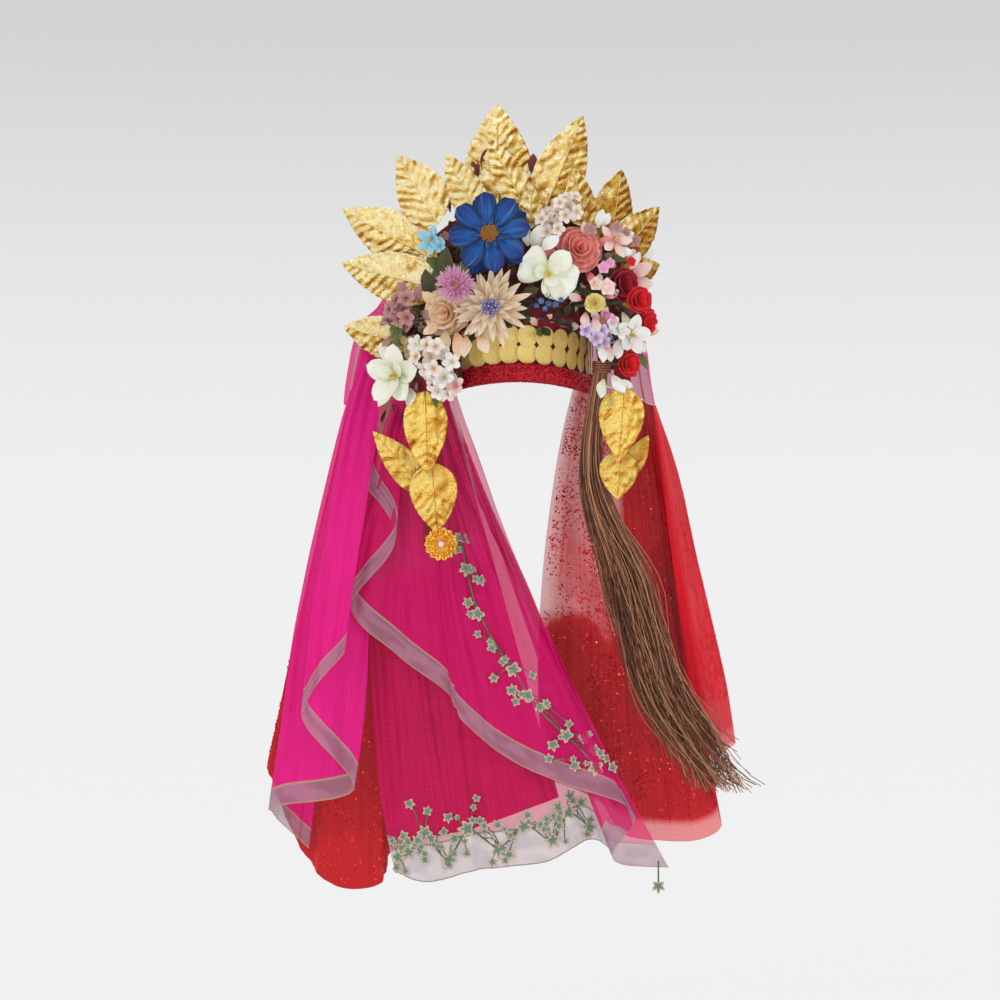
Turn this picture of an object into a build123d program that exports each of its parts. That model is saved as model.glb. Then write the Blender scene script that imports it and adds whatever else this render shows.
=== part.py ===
from build123d import *
import os
from math import atan2, cos, degrees, hypot, pi, radians, sin, sqrt

# Bridal headpiece as it sits on a head. Millimetres, +Z up, the front looks along -Y.
# The origin is where it sits: the middle of the head opening, level with the rim at the sides.

# Head and cap
HEAD_WIDTH = 152
HEAD_DEPTH = 188
CAP_WALL = 3
CAP_HEIGHT = 118
CAP_ROUNDING = 45
FRONT_RIM = 6
RIM_ARCH = 15
RIM_RISE_TO_BACK = 13
CLEARANCE = 0.3

# Brow band
BAND_THICKNESS = 9
BAND_HEIGHT = 17.5

# Coins
COIN_DIAMETER = 23
COIN_THICKNESS = 1
COIN_RELIEF = 0.4
COIN_BORDER = 1.3
COIN_BOSS = 2.9
COIN_PITCH = 18
COIN_YAW = 7
COIN_FIRST = -54
COIN_LAST = 84
COIN_GAP_OVER_BAND = 0.6
COIN_STANDOFF = 2.2

# Crest board behind the flowers
CREST_AXIS = 50
CREST_THICKNESS = 4
CREST_HALF = 138
CREST_HEIGHT = 195
CREST_FOOT_SHARE = -0.025

# Foil leaves and flowers
FOIL = 1
LEAF_FOLD = 0.2
LEAF_STEP = 9
LEAF_SWEEP = 0.38
LEAF_BEND = 400
LEAF_TURN = 0.8
LEAF_BLANK = 0.6
LEAF_SPARE = 1.1
BLOOM = 46
STEM_RADIUS = 1.5
PETAL = 1.2

# Temple pendants
RIBBON_WIDTH = 18
RIBBON_THICKNESS = 1.5
PENDANT_LEFT_DROP = 172
PENDANT_RIGHT_DROP = 112
ROSETTE_STANDOFF = 22
RIBBON_LEFT_X = 92
RIBBON_RIGHT_X = 113
RIBBON_LEFT_TOP = 12
RIBBON_RIGHT_TOP = 36
RIBBON_TUCK = 18
RIBBON_LEAN = 14
ROSETTE_RADIUS = 17
ROSETTE_SHIFT = 11
BEAD_RADIUS = 4

# Veils
VEIL_DROP = 500
VEIL_SPREAD = 250
VEIL_DEPTH = 100
CLOTH = 1.2
CLOTH_GAP = 0.6
HOOD_LEFT = 186
HOOD_RIGHT = 150
HOOD_BACK = 115
HOOD_MIDDLE = 10
HOOD_EDGE = 24
HOOD_EDGE_DROP = 40
HOOD_SHOULDER = 85
HOOD_BULGE = 0.91
HOOD_BULGE_SIDE = 0.06
HOOD_BULGE_BACK = 0.95
HOOD_TUCK = 6
HOOD_SIDE_GAP = 15
HOOD_TURN = 95
HOOD_PLEAT = 5
HOOD_PLEATS = 9
COLUMNS_PER_FOLD = 5
CLOTH_ROWS = 9
HOOD_ROWS = 7

# Strands
STRAND_HEAD_X = 90
STRAND_HEAD_LEVEL = 0.12
STRAND_LOCKS = 7
STRAND_SIDES = 8
STRAND_LEAST = 1.5
STRAND_FILL = 0.3
STRAND_STAGGER = 0.25

# Ivy
IVY_THICKNESS = 1
IVY_STEM_RADIUS = 0.8
IVY_STANDOFF = 1.7
IVY_LEAF = 10
IVY_HANG = 26
IVY_CORNER = 0.985
IVY_SIDES = 4
IVY_STEPS = 4

# Sizes that follow from the ones above
CAP_HALF_WIDTH = HEAD_WIDTH / 2 + CAP_WALL
CAP_HALF_DEPTH = HEAD_DEPTH / 2 + CAP_WALL
BAND_INNER_WIDTH = CAP_HALF_WIDTH + CLEARANCE
BAND_INNER_DEPTH = CAP_HALF_DEPTH + CLEARANCE
ARCH_RADIUS = (CAP_HALF_WIDTH ** 2 + RIM_ARCH ** 2) / (2 * RIM_ARCH)
CREST_FRONT = CREST_AXIS + CAP_HALF_DEPTH + CLEARANCE + CREST_THICKNESS
CREST_BACK = CREST_FRONT - CREST_THICKNESS
CREST_ARCH_CENTRE = CREST_HEIGHT - CREST_HALF
CREST_FOOT = CREST_FOOT_SHARE * CREST_HEIGHT

os.makedirs("parts", exist_ok=True)


def save(piece, name):
    """Label a finished piece and write it out."""
    piece.label = name
    export_step(piece, "parts/" + name + ".step")


# Cap

def below_rim(lift):
    """Everything under the arched rim line, moved up by a lift."""
    tilt = degrees(atan2(RIM_RISE_TO_BACK, 2 * CAP_HALF_DEPTH))
    front = Plane((0, -CAP_HALF_DEPTH, FRONT_RIM + lift), x_dir=(1, 0, 0), z_dir=(0, -1, 0))
    with BuildPart() as under:
        with BuildSketch(front.rotated((tilt, 0, 0))):
            with Locations((0, -ARCH_RADIUS)):
                Circle(ARCH_RADIUS)
        extrude(amount=4 * CAP_HALF_DEPTH, both=True)
    return under.part


def rim_height(x, y):
    """Height of the rim line over a point of the cap."""
    arch = ARCH_RADIUS - sqrt(ARCH_RADIUS ** 2 - x ** 2)
    return FRONT_RIM - arch + RIM_RISE_TO_BACK * (y + CAP_HALF_DEPTH) / (2 * CAP_HALF_DEPTH)


def dome(half_width, half_depth, height, rounding):
    """A closed cap shape: upright elliptical walls and a rounded crown."""
    with BuildPart() as shape:
        with BuildSketch(Plane.XY.offset(-RIM_ARCH * 2)):
            Ellipse(half_width, half_depth)
        extrude(amount=height + RIM_ARCH * 2)
        fillet(shape.edges().sort_by(Axis.Z)[-1], radius=rounding)
    return shape.part


under_cap = below_rim(0)
hollow = dome(HEAD_WIDTH / 2, HEAD_DEPTH / 2, CAP_HEIGHT - CAP_WALL, CAP_ROUNDING - CAP_WALL)
with BuildPart() as cap:
    add(dome(CAP_HALF_WIDTH, CAP_HALF_DEPTH, CAP_HEIGHT, CAP_ROUNDING))
    add(hollow, mode=Mode.SUBTRACT)
    add(under_cap, mode=Mode.SUBTRACT)
save(cap.part, "cap")

# Brow band

under_band_top = below_rim(BAND_HEIGHT)
with BuildPart() as brow_band:
    with BuildSketch(Plane.XY.offset(-RIM_ARCH * 3)):
        Ellipse(BAND_INNER_WIDTH + BAND_THICKNESS, BAND_INNER_DEPTH + BAND_THICKNESS)
        Ellipse(BAND_INNER_WIDTH, BAND_INNER_DEPTH, mode=Mode.SUBTRACT)
    extrude(amount=RIM_ARCH * 6 + BAND_HEIGHT)
    add(under_band_top, mode=Mode.INTERSECT)
    add(under_cap, mode=Mode.SUBTRACT)
save(brow_band.part, "brow_band")

# Coin rows

with BuildPart() as coin:
    Cylinder(COIN_DIAMETER / 2, COIN_THICKNESS, align=(Align.CENTER, Align.CENTER, Align.MIN))
    with BuildSketch(Plane.XY.offset(COIN_THICKNESS)):
        Circle(COIN_DIAMETER / 2)
        Circle(COIN_DIAMETER / 2 - COIN_BORDER, mode=Mode.SUBTRACT)
        Circle(COIN_BOSS)
    extrude(amount=COIN_RELIEF)


def coin_row(rise, standoff):
    """A row of coins round the cap's front, each turned a little so that it laps over the next."""
    places = []
    bearing = radians(COIN_FIRST)
    while bearing < radians(COIN_LAST):
        x = CAP_HALF_WIDTH * sin(bearing)
        y = -CAP_HALF_DEPTH * cos(bearing)
        outward = atan2(x / CAP_HALF_WIDTH ** 2, -y / CAP_HALF_DEPTH ** 2)
        origin = (x + standoff * sin(outward), y - standoff * cos(outward), rim_height(x, y) + rise)
        turned = outward + radians(COIN_YAW)
        outside = (sin(turned), -cos(turned), 0)
        places.append(Plane(origin, x_dir=(cos(turned), sin(turned), 0), z_dir=outside))
        speed = hypot(CAP_HALF_WIDTH * cos(bearing), CAP_HALF_DEPTH * sin(bearing))
        bearing += COIN_PITCH / speed
    with BuildPart() as row:
        with Locations(*places):
            add(coin.part)
    return row.part


LOWER_ROW_RISE = BAND_HEIGHT + COIN_GAP_OVER_BAND + COIN_DIAMETER / 2
COIN_LAP = sqrt((COIN_DIAMETER / 2) ** 2 - (COIN_PITCH / 2) ** 2)
COIN_SWING = COIN_LAP * sin(radians(COIN_YAW))
UPPER_ROW_STANDOFF = COIN_STANDOFF + COIN_THICKNESS + COIN_RELIEF + COIN_SWING
save(coin_row(LOWER_ROW_RISE, COIN_STANDOFF), "coin_row_lower")
save(coin_row(LOWER_ROW_RISE + COIN_PITCH, UPPER_ROW_STANDOFF), "coin_row_upper")


# Crest

def on_crest(bearing, standoff, height):
    """A point off the crest's front: bearing in degrees from the middle, positive to the right."""
    reach = CREST_FRONT + standoff
    return Vector(reach * sin(radians(bearing)), CREST_AXIS - reach * cos(radians(bearing)), height)


# Shares of the crest's half width and height, from the left foot round to the right foot
CREST_FEET = [
    ("across", "rise"),
    (-1.000, 0.290), (-0.960, CREST_FOOT_SHARE), (-0.435, CREST_FOOT_SHARE), (-0.435, 0.300), (-0.400, 0.370),
    (0.420, 0.370), (0.600, 0.250), (0.640, 0.100), (0.950, 0.100), (1.000, 0.290),
]
with BuildPart() as crest:
    with BuildSketch(Plane.XY.offset(-CREST_HEIGHT)):
        with Locations((0, CREST_AXIS)):
            Circle(CREST_FRONT)
            Circle(CREST_BACK, mode=Mode.SUBTRACT)
    extrude(amount=3 * CREST_HEIGHT)
    with BuildSketch(Plane.XZ.offset(-CREST_AXIS)):
        with BuildLine():
            feet = Polyline(*[(x * CREST_HALF, z * CREST_HEIGHT) for x, z in CREST_FEET[1:]])
            ThreePointArc(feet @ 0, (0, CREST_HEIGHT), feet @ 1)
        make_face()
    extrude(amount=2 * CREST_FRONT, mode=Mode.INTERSECT)
save(crest.part, "crest")


def seat_at(x, height):
    """The point off the crest's front at a place across where a stem's flat end just clears it."""
    reach = CREST_FRONT + CLEARANCE + STEM_RADIUS * abs(x) / CREST_FRONT
    return Vector(x, CREST_AXIS - sqrt(reach ** 2 - x ** 2), height)


# Gold foil leaves

def leaf_solid(place, length, width):
    """A pointed leaf folded along its midrib and bent back: place's y runs from foot to tip."""
    across = Plane(place.origin, x_dir=place.x_dir, z_dir=-place.y_dir)
    side = LEAF_BLANK * width
    drop = side * LEAF_FOLD
    sweep = degrees(length / LEAF_BEND) * LEAF_SPARE
    with BuildPart() as leaf:
        with BuildSketch(across):
            with BuildLine():
                Polyline((-side, -drop), (0, 0), (side, -drop), (side, -drop - FOIL), (0, -FOIL),
                         (-side, -drop - FOIL), close=True)
            make_face()
        revolve(axis=Axis(place.origin - place.z_dir * LEAF_BEND, place.x_dir), revolution_arc=-sweep)
        with BuildSketch(place):
            with BuildLine():
                Bezier((0, 0), (width * 0.85, length * 0.15), (width * 0.48, length * 0.70), (0, length))
                Bezier((0, length), (-width * 0.48, length * 0.70), (-width * 0.85, length * 0.15), (0, 0))
            make_face()
        extrude(amount=length, both=True, mode=Mode.INTERSECT)
    return leaf.part


def foil_leaf(foot, tip, width, carrier, turn):
    """A foil leaf from its foot to its tip, faced towards a turn, with a stem straight back to its carrier.

    The carrier gives the point behind a place across and up.
    """
    chord = (tip - foot).normalized()
    ahead = Vector(sin(radians(turn)), -cos(radians(turn)), 0)
    ahead = (ahead - chord * ahead.dot(chord)).normalized()
    half_bend = (tip - foot).length / (2 * LEAF_BEND)
    along = chord * cos(half_bend) + ahead * sin(half_bend)
    face = ahead * cos(half_bend) - chord * sin(half_bend)
    place = Plane(foot, x_dir=along.cross(face), z_dir=face)
    root = foot + along * STEM_RADIUS * 2
    with BuildPart() as piece:
        add(leaf_solid(place, (tip - foot).length, width))
        with BuildSketch(Plane(root - Vector(0, FOIL, 0), z_dir=(0, 1, 0))):
            Circle(STEM_RADIUS)
        extrude(amount=carrier(root.X, root.Z).Y - root.Y + FOIL)
    return piece.part


# Crown leaves: foot and tip in shares of the crest's half width and height, width in shares of the half width
CROWN_LEAVES = [
    ("name", "foot_across", "foot_rise", "tip_across", "tip_rise", "width", "layer"),
    ("leaf_left_low", -0.86, 0.24, -1.37, 0.35, 0.33, 1),
    ("leaf_left_mid", -0.60, 0.53, -1.37, 0.69, 0.40, 2),
    ("leaf_left_high", -0.62, 0.69, -1.36, 0.99, 0.43, 1),
    ("leaf_left_top", -0.61, 0.89, -0.93, 1.27, 0.42, 2),
    ("leaf_mid_left", -0.27, 0.88, -0.55, 1.27, 0.28, 2),
    ("leaf_crown", -0.14, 0.89, -0.16, 1.53, 0.54, 1),
    ("leaf_crown_small", 0.07, 0.94, -0.22, 1.33, 0.25, 3.4),
    ("leaf_mid_right", 0.20, 0.94, 0.50, 1.47, 0.39, 2),
    ("leaf_right_small", 0.52, 0.86, 0.43, 1.18, 0.26, 3),
    ("leaf_right_top", 0.70, 0.76, 0.81, 1.20, 0.39, 1),
    ("leaf_right_high", 0.76, 0.70, 1.11, 1.00, 0.33, 2),
    ("leaf_right_mid", 0.80, 0.60, 1.12, 0.69, 0.26, 1),
    ("leaf_right_low", 0.80, 0.49, 1.05, 0.49, 0.16, 2),
    ("leaf_centre", 0.10, 0.84, 0.10, 1.08, 0.19, 4),
    ("leaf_left_drop", -0.80, 0.29, -0.83, 0.12, 0.20, 2),
]
for name, foot_across, foot_rise, tip_across, tip_rise, width, layer in CROWN_LEAVES[1:]:
    seat = seat_at(foot_across * CREST_HALF, foot_rise * CREST_HEIGHT)
    foot = seat - Vector(0, layer * LEAF_STEP, 0)
    reach = (tip_across - foot_across) * CREST_HALF
    outward = max(reach if foot_across > 0 else -reach, 0)
    tip = Vector(tip_across * CREST_HALF, foot.Y + LEAF_SWEEP * outward, tip_rise * CREST_HEIGHT)
    turn = LEAF_TURN * degrees(atan2(seat.X, CREST_AXIS - seat.Y))
    save(foil_leaf(foot, tip, width * CREST_HALF, seat_at, turn), name)


# Flowers

# Shares of a flower's reach: its middle disc, its petals' ellipses, the crown of their cup and a spare rim
PETAL_DISC = 0.35
PETAL_CENTRE = 0.58
PETAL_HALF_LENGTH = 0.42
PETAL_CROWN = 0.55
PETAL_SPARE = 1.05
# Shares of a cluster's reach: its florets, and how far they lean out and rise
FLORET_REACH = 0.45
FLORET_LEAN = 0.55
FLORET_RISE = 0.35


def petal_ring(petals, reach, half_width, rise, belly, lift):
    """A ring of petals round the origin, cupped upwards."""
    beyond = reach * PETAL_SPARE
    crown = beyond * PETAL_CROWN
    with BuildPart() as ring:
        with BuildSketch(Plane.XZ):
            with BuildLine():
                low = ThreePointArc((0, lift), (crown, lift + rise * belly), (beyond, lift + rise))
                high = ThreePointArc((0, lift + PETAL), (crown, lift + rise * belly + PETAL),
                                     (beyond, lift + rise + PETAL))
                Line(low @ 0, high @ 0)
                Line(low @ 1, high @ 1)
            make_face()
        revolve(axis=Axis.Z)
        with BuildSketch():
            Circle(PETAL_DISC * reach)
            with PolarLocations(PETAL_CENTRE * reach, petals):
                Ellipse(PETAL_HALF_LENGTH * reach, half_width)
        extrude(amount=2 * reach, both=True, mode=Mode.INTERSECT)
    return ring.part


def facing(origin, turn, nod):
    """A flower's plane at a point: turned to the right and nodding up, in degrees, from straight ahead."""
    a = radians(turn)
    b = radians(nod)
    return Plane(origin, x_dir=(cos(a), sin(a), 0), z_dir=(sin(a) * cos(b), -cos(a) * cos(b), sin(b)))


# Rings of each kind of flower, with petal sizes in shares of the flower's reach
PETAL_RINGS = [
    ("kind", "petals", "reach", "half_width", "rise", "belly", "lift"),
    ("daisy", 10, 1.00, 0.21, 0.14, 0.30, 0.00),
    ("daisy", 8, 0.66, 0.18, 0.22, 0.30, 0.07),
    ("star", 5, 1.00, 0.27, 0.20, 0.30, 0.00),
    ("rose", 5, 1.00, 0.46, 0.30, 0.35, 0.00),
    ("rose", 5, 0.72, 0.36, 0.42, 0.35, 0.08),
    ("rose", 4, 0.42, 0.24, 0.40, 0.35, 0.20),
    ("dahlia", 16, 1.00, 0.13, 0.10, 0.60, 0.00),
    ("dahlia", 12, 0.72, 0.11, 0.20, 0.45, 0.06),
    ("pompom", 14, 1.00, 0.14, 0.30, 0.60, 0.00),
    ("pompom", 12, 0.80, 0.13, 0.55, 0.50, 0.06),
    ("orchid", 5, 1.00, 0.40, 0.18, 0.50, 0.00),
    ("orchid", 3, 0.50, 0.22, 0.30, 0.30, 0.06),
    ("lily", 5, 1.00, 0.30, 0.42, 0.30, 0.00),
]
# Radius of the heart of each kind, in shares of the reach
HEARTS = {
    "daisy": 0.20, "star": 0.14, "rose": 0.20, "dahlia": 0.14, "pompom": 0.30, "orchid": 0.12, "lily": 0.12,
}


def blossom(kind, reach):
    """The rings and the heart of one flower, facing up at the origin."""
    rings = [petal_ring(petals, share * reach, half_width * reach, rise * reach, belly, lift * reach)
             for ring, petals, share, half_width, rise, belly, lift in PETAL_RINGS[1:] if ring == kind]
    heart = HEARTS[kind] * reach
    with BuildPart() as flower:
        for ring in rings:
            add(ring)
        Cylinder(heart, heart + PETAL, align=(Align.CENTER, Align.CENTER, Align.MIN))
        with Locations((0, 0, heart)):
            Sphere(heart * 0.8)
    return flower.part


def cluster(reach, florets):
    """Small star florets on short stalks round the origin, facing up."""
    floret = blossom("star", FLORET_REACH * reach)
    with BuildPart() as group:
        for index in range(florets):
            around = 2 * pi * index / florets
            lean = FLORET_LEAN * reach
            stalk = Vector(lean * cos(around), lean * sin(around), FLORET_RISE * reach * (1 + index % 2))
            with Locations(Location(stalk)):
                add(floret)
            with BuildSketch(Plane((0, 0, 0), z_dir=stalk)):
                Circle(STEM_RADIUS)
            extrude(amount=stalk.length)
    return group.part


# Flowers: bearing round the crest in degrees, level in shares of its height, stand-off and reach in
# shares of the largest flower's reach, then turn and nod of its face in degrees
FLOWERS = [
    ("name", "kind", "bearing", "level", "stand_off", "reach", "turn", "nod"),
    ("blue_daisy", "daisy", -8.3, 0.80, 1.13, 1.00, -4, 8),
    ("sky_flower", "star", -30.9, 0.79, 0.65, 0.38, -20, 10),
    ("pink_pompom", "pompom", -17.4, 0.53, 1.40, 0.46, -10, 0),
    ("peach_rose", "rose", -24.6, 0.40, 0.50, 0.60, -22, -5),
    ("cream_dahlia", "dahlia", -8.2, 0.42, 0.90, 0.92, -5, -8),
    ("ivory_orchid", "orchid", 9.4, 0.60, 0.86, 0.76, 8, -5),
    ("coral_rose", "rose", 20.6, 0.73, 0.60, 0.56, 14, 10),
    ("dark_red_rose", "rose", 34.5, 0.55, 0.80, 0.42, 28, 0),
    ("red_blossom_upper", "rose", 37.4, 0.46, 1.20, 0.32, 20, 0),
    ("red_blossom_side", "rose", 46.4, 0.36, 0.68, 0.34, 40, -5),
    ("blush_blossom", "star", 32.6, 0.79, 0.87, 0.46, 30, 15),
    ("yellow_rosebud", "rose", 23.6, 0.44, 1.09, 0.25, 12, 0),
    ("blush_star", "star", 28.3, 0.35, 0.80, 0.36, 18, 0),
    ("lilac_cluster", "cluster", 33.2, 0.27, 0.35, 0.36, 25, -5),
    ("white_blossom_right", "lily", 38.6, 0.28, 0.88, 0.46, 35, -5),
    ("tulle_stars", "cluster", 15.4, 0.94, 0.98, 0.40, 10, 20),
    ("white_stars_top", "cluster", 10.6, 0.86, 0.76, 0.40, 5, 15),
    ("white_lily", "lily", -41.2, 0.06, 0.98, 0.70, -28, -5),
    ("white_star_cluster", "cluster", -27.3, 0.15, 0.91, 0.50, -20, 0),
    ("cream_star_cluster", "cluster", -25.4, 0.01, 0.54, 0.42, -15, -5),
    ("mauve_hydrangea", "cluster", -37.8, 0.42, 0.86, 0.48, -30, 0),
    ("green_leaves", "orchid", -28.4, 0.64, 0.33, 0.44, -20, 5),
    ("red_blossom_low", "rose", 40.5, 0.13, 0.56, 0.32, 30, -5),
]
CLUSTER_FLORETS = 5
for name, kind, bearing, level, stand_off, reach, turn, nod in FLOWERS[1:]:
    foot = on_crest(bearing, CLEARANCE, level * CREST_HEIGHT)
    middle = on_crest(bearing, stand_off * BLOOM, level * CREST_HEIGHT)
    place = facing(middle, turn, nod)
    head = cluster(reach * BLOOM, CLUSTER_FLORETS) if kind == "cluster" else blossom(kind, reach * BLOOM)
    with BuildPart() as flower:
        with Locations(place):
            add(head)
        with BuildSketch(Plane(foot, z_dir=middle - foot)):
            Circle(STEM_RADIUS)
        extrude(amount=(middle - foot).length + PETAL / 2)
    save(flower.part, name)


# Temple pendants

def ribbon_back(middle_x):
    """How far back a flat ribbon hangs before its inner edge would meet the crest."""
    inner = abs(middle_x) - RIBBON_WIDTH / 2
    return CREST_AXIS - sqrt((CREST_FRONT + CLEARANCE) ** 2 - inner ** 2)


def ribbon(middle_x, top, drop):
    """A flat ribbon that hangs from the crest's front and leans a little forward."""
    back = ribbon_back(middle_x)
    front = back - RIBBON_THICKNESS
    with BuildPart() as band:
        with BuildSketch(Plane.YZ.offset(middle_x - RIBBON_WIDTH / 2)):
            with BuildLine():
                Polyline((back, top), (back, top - RIBBON_TUCK), (back - RIBBON_LEAN, -drop),
                         (front - RIBBON_LEAN, -drop), (front, top - RIBBON_TUCK), (front, top), close=True)
            make_face()
        extrude(amount=RIBBON_WIDTH)
    return band.part


def ribbon_front(middle_x, top, drop, height):
    """The point just off the middle of a ribbon's front at a height."""
    y = ribbon_back(middle_x) - RIBBON_THICKNESS
    run = max(top - RIBBON_TUCK - height, 0) / (top - RIBBON_TUCK + drop)
    return Vector(middle_x, y - RIBBON_LEAN * run - CLEARANCE, height)


# Pendant leaves: foot and tip across from the ribbon and down from the head seat, and width, in shares of
# the left pendant's drop
PENDANT_LEAVES = [
    ("name", "foot_across", "foot_drop", "tip_across", "tip_drop", "width", "layer"),
    ("pendant_left_side", -0.02, 0.66, -0.36, 0.28, 0.20, 1),
    ("pendant_left_upper", -0.04, 0.03, -0.02, 0.54, 0.27, 3),
    ("pendant_left_lower", 0.00, 0.47, 0.04, 0.91, 0.29, 2),
    ("pendant_right_upper", 0.00, 0.00, -0.03, 0.46, 0.28, 3),
    ("pendant_right_side", 0.02, 0.55, 0.16, 0.30, 0.13, 1),
    ("pendant_right_lower", -0.02, 0.40, -0.04, 0.70, 0.24, 2),
]
save(ribbon(-RIBBON_LEFT_X, RIBBON_LEFT_TOP, PENDANT_LEFT_DROP), "ribbon_left")
save(ribbon(RIBBON_RIGHT_X, RIBBON_RIGHT_TOP, PENDANT_RIGHT_DROP), "ribbon_right")
for name, foot_across, foot_drop, tip_across, tip_drop, width, layer in PENDANT_LEAVES[1:]:
    if "left" in name:
        middle_x, top, drop = -RIBBON_LEFT_X, RIBBON_LEFT_TOP, PENDANT_LEFT_DROP
    else:
        middle_x, top, drop = RIBBON_RIGHT_X, RIBBON_RIGHT_TOP, PENDANT_RIGHT_DROP

    def carrier(x, height):
        return ribbon_front(middle_x, top, drop, height)

    forward = Vector(0, -layer * LEAF_STEP, 0)
    foot = carrier(0, -foot_drop * PENDANT_LEFT_DROP) + forward
    foot.X += foot_across * PENDANT_LEFT_DROP
    tip = carrier(0, -tip_drop * PENDANT_LEFT_DROP) + forward
    tip.X += tip_across * PENDANT_LEFT_DROP
    save(foil_leaf(foot, tip, width * PENDANT_LEFT_DROP, carrier, 0), name)

rosette_height = STEM_RADIUS * 3 - PENDANT_LEFT_DROP
rosette_seat = ribbon_front(-RIBBON_LEFT_X, RIBBON_LEFT_TOP, PENDANT_LEFT_DROP, rosette_height)
rosette_seat.Y -= STEM_RADIUS * ROSETTE_SHIFT / ROSETTE_STANDOFF
rosette_middle = rosette_seat + Vector(ROSETTE_SHIFT, -ROSETTE_STANDOFF, 0)
rosette_place = facing(rosette_middle, 0, 0)
outer_ring = petal_ring(12, ROSETTE_RADIUS, ROSETTE_RADIUS * 0.2, ROSETTE_RADIUS * 0.2, 0.6, 0)
inner_ring = petal_ring(10, ROSETTE_RADIUS * 0.7, ROSETTE_RADIUS * 0.16, ROSETTE_RADIUS * 0.25, 0.4, PETAL)
with BuildPart() as rosette:
    with Locations(rosette_place):
        add(outer_ring)
        add(inner_ring)
        with Locations((0, 0, BEAD_RADIUS)):
            Sphere(BEAD_RADIUS)
    with BuildSketch(Plane(rosette_seat, z_dir=rosette_middle - rosette_seat)):
        Circle(STEM_RADIUS)
    extrude(amount=(rosette_middle - rosette_seat).length + PETAL / 2)
save(rosette.part, "rosette")


# Veils

def through(values, u):
    """A smooth curve through evenly spaced values, read at u from 0 to 1."""
    spans = len(values) - 1
    index = min(int(u * spans), spans - 1)
    t = u * spans - index
    before = values[max(index - 1, 0)]
    start = values[index]
    end = values[index + 1]
    after = values[min(index + 2, spans)]
    return (start * 2 + (end - before) * t + (before * 2 - start * 5 + end * 4 - after) * t ** 2
            + (start * 3 - before - end * 3 + after) * t ** 3) * 0.5


def cloth_wall(point, columns, rows):
    """A closed wall of cloth: point(u, v) gives its front face, u across and v down."""
    nudge = 0.002

    def back_point(u, v):
        across = point(min(u + nudge, 1), v) - point(max(u - nudge, 0), v)
        down = point(u, min(v + nudge, 1)) - point(u, max(v - nudge, 0))
        return point(u, v) + across.cross(down).normalized() * CLOTH

    front = [[point(i / columns, j / rows) for j in range(rows + 1)] for i in range(columns + 1)]
    back = [[back_point(i / columns, j / rows) for j in range(rows + 1)] for i in range(columns + 1)]
    corners = []
    for i in range(columns):
        for j in range(rows):
            corners.append((front[i][j], front[i + 1][j], front[i + 1][j + 1]))
            corners.append((front[i][j], front[i + 1][j + 1], front[i][j + 1]))
            corners.append((back[i][j], back[i + 1][j + 1], back[i + 1][j]))
            corners.append((back[i][j], back[i][j + 1], back[i + 1][j + 1]))
    for i in range(columns):
        for j in (0, rows):
            corners.append((front[i][j], front[i + 1][j], back[i + 1][j]))
            corners.append((front[i][j], back[i + 1][j], back[i][j]))
    for j in range(rows):
        for i in (0, columns):
            corners.append((front[i][j], front[i][j + 1], back[i][j + 1]))
            corners.append((front[i][j], back[i][j + 1], back[i][j]))
    return Solid(Shell([Face(Wire.make_polygon(list(three))) for three in corners]))


def hood_point(turn, level):
    """A point of the hood: turn in degrees from the middle of the back, positive to the right."""
    t = radians(turn)
    half_width = (HOOD_LEFT + HOOD_RIGHT) / 2 + (HOOD_RIGHT - HOOD_LEFT) / 2 * sin(t)
    arch = t * 90 / HOOD_TURN
    top_half = CREST_HALF - HOOD_TUCK
    top_x = top_half * sin(arch)
    top_y = CREST_AXIS - sqrt((CREST_BACK - CLOTH_GAP) ** 2 - top_x ** 2) + HOOD_SIDE_GAP * sin(arch) ** 2
    top = Vector(top_x, top_y, CREST_ARCH_CENTRE + top_half * cos(arch))
    edge = Vector(half_width * sin(t), HOOD_MIDDLE + (HOOD_BACK - HOOD_MIDDLE) * cos(t),
                  HOOD_EDGE - HOOD_EDGE_DROP * sin(t) ** 2)
    bulge = Vector(half_width * sin(t) * (HOOD_BULGE - HOOD_BULGE_SIDE * sin(t)),
                   HOOD_MIDDLE + (HOOD_BACK * HOOD_BULGE_BACK - HOOD_MIDDLE) * cos(t),
                   CREST_HEIGHT - HOOD_SHOULDER * sin(t) ** 2)
    point = top * (1 - level) ** 2 + bulge * (2 * level * (1 - level)) + edge * level ** 2
    wave = 1 - cos(pi * HOOD_PLEATS * (turn + HOOD_TURN) / HOOD_TURN)
    pleat = HOOD_PLEAT * wave / 2 * sin(pi / 2 * level)
    return point + Vector(sin(t), cos(t), 0) * pleat


def hood_across(u, v):
    return hood_point(2 * HOOD_TURN * u - HOOD_TURN, v)


save(Part([cloth_wall(hood_across, HOOD_PLEATS * (COLUMNS_PER_FOLD + 1), HOOD_ROWS)]), "veil_hood")


def fall(tops, rows, settle):
    """A hanging length of veil as point(u, v), from tops and from rows of hem and bow shares."""
    hems = [Vector(x * VEIL_SPREAD, y * VEIL_DEPTH, -z * VEIL_DROP) for x, y, z, bow in rows]
    bows = [bow * VEIL_SPREAD for x, y, z, bow in rows]

    def point(u, v):
        top = through(tops, u)
        hem = through(hems, u)
        bow = through(bows, u)
        forward = 1 - (1 - v) ** settle
        return Vector(top.X + (hem.X - top.X) * v + bow * 4 * v * (1 - v),
                      top.Y + (hem.Y - top.Y) * forward, top.Z + (hem.Z - top.Z) * v)

    return point


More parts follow.
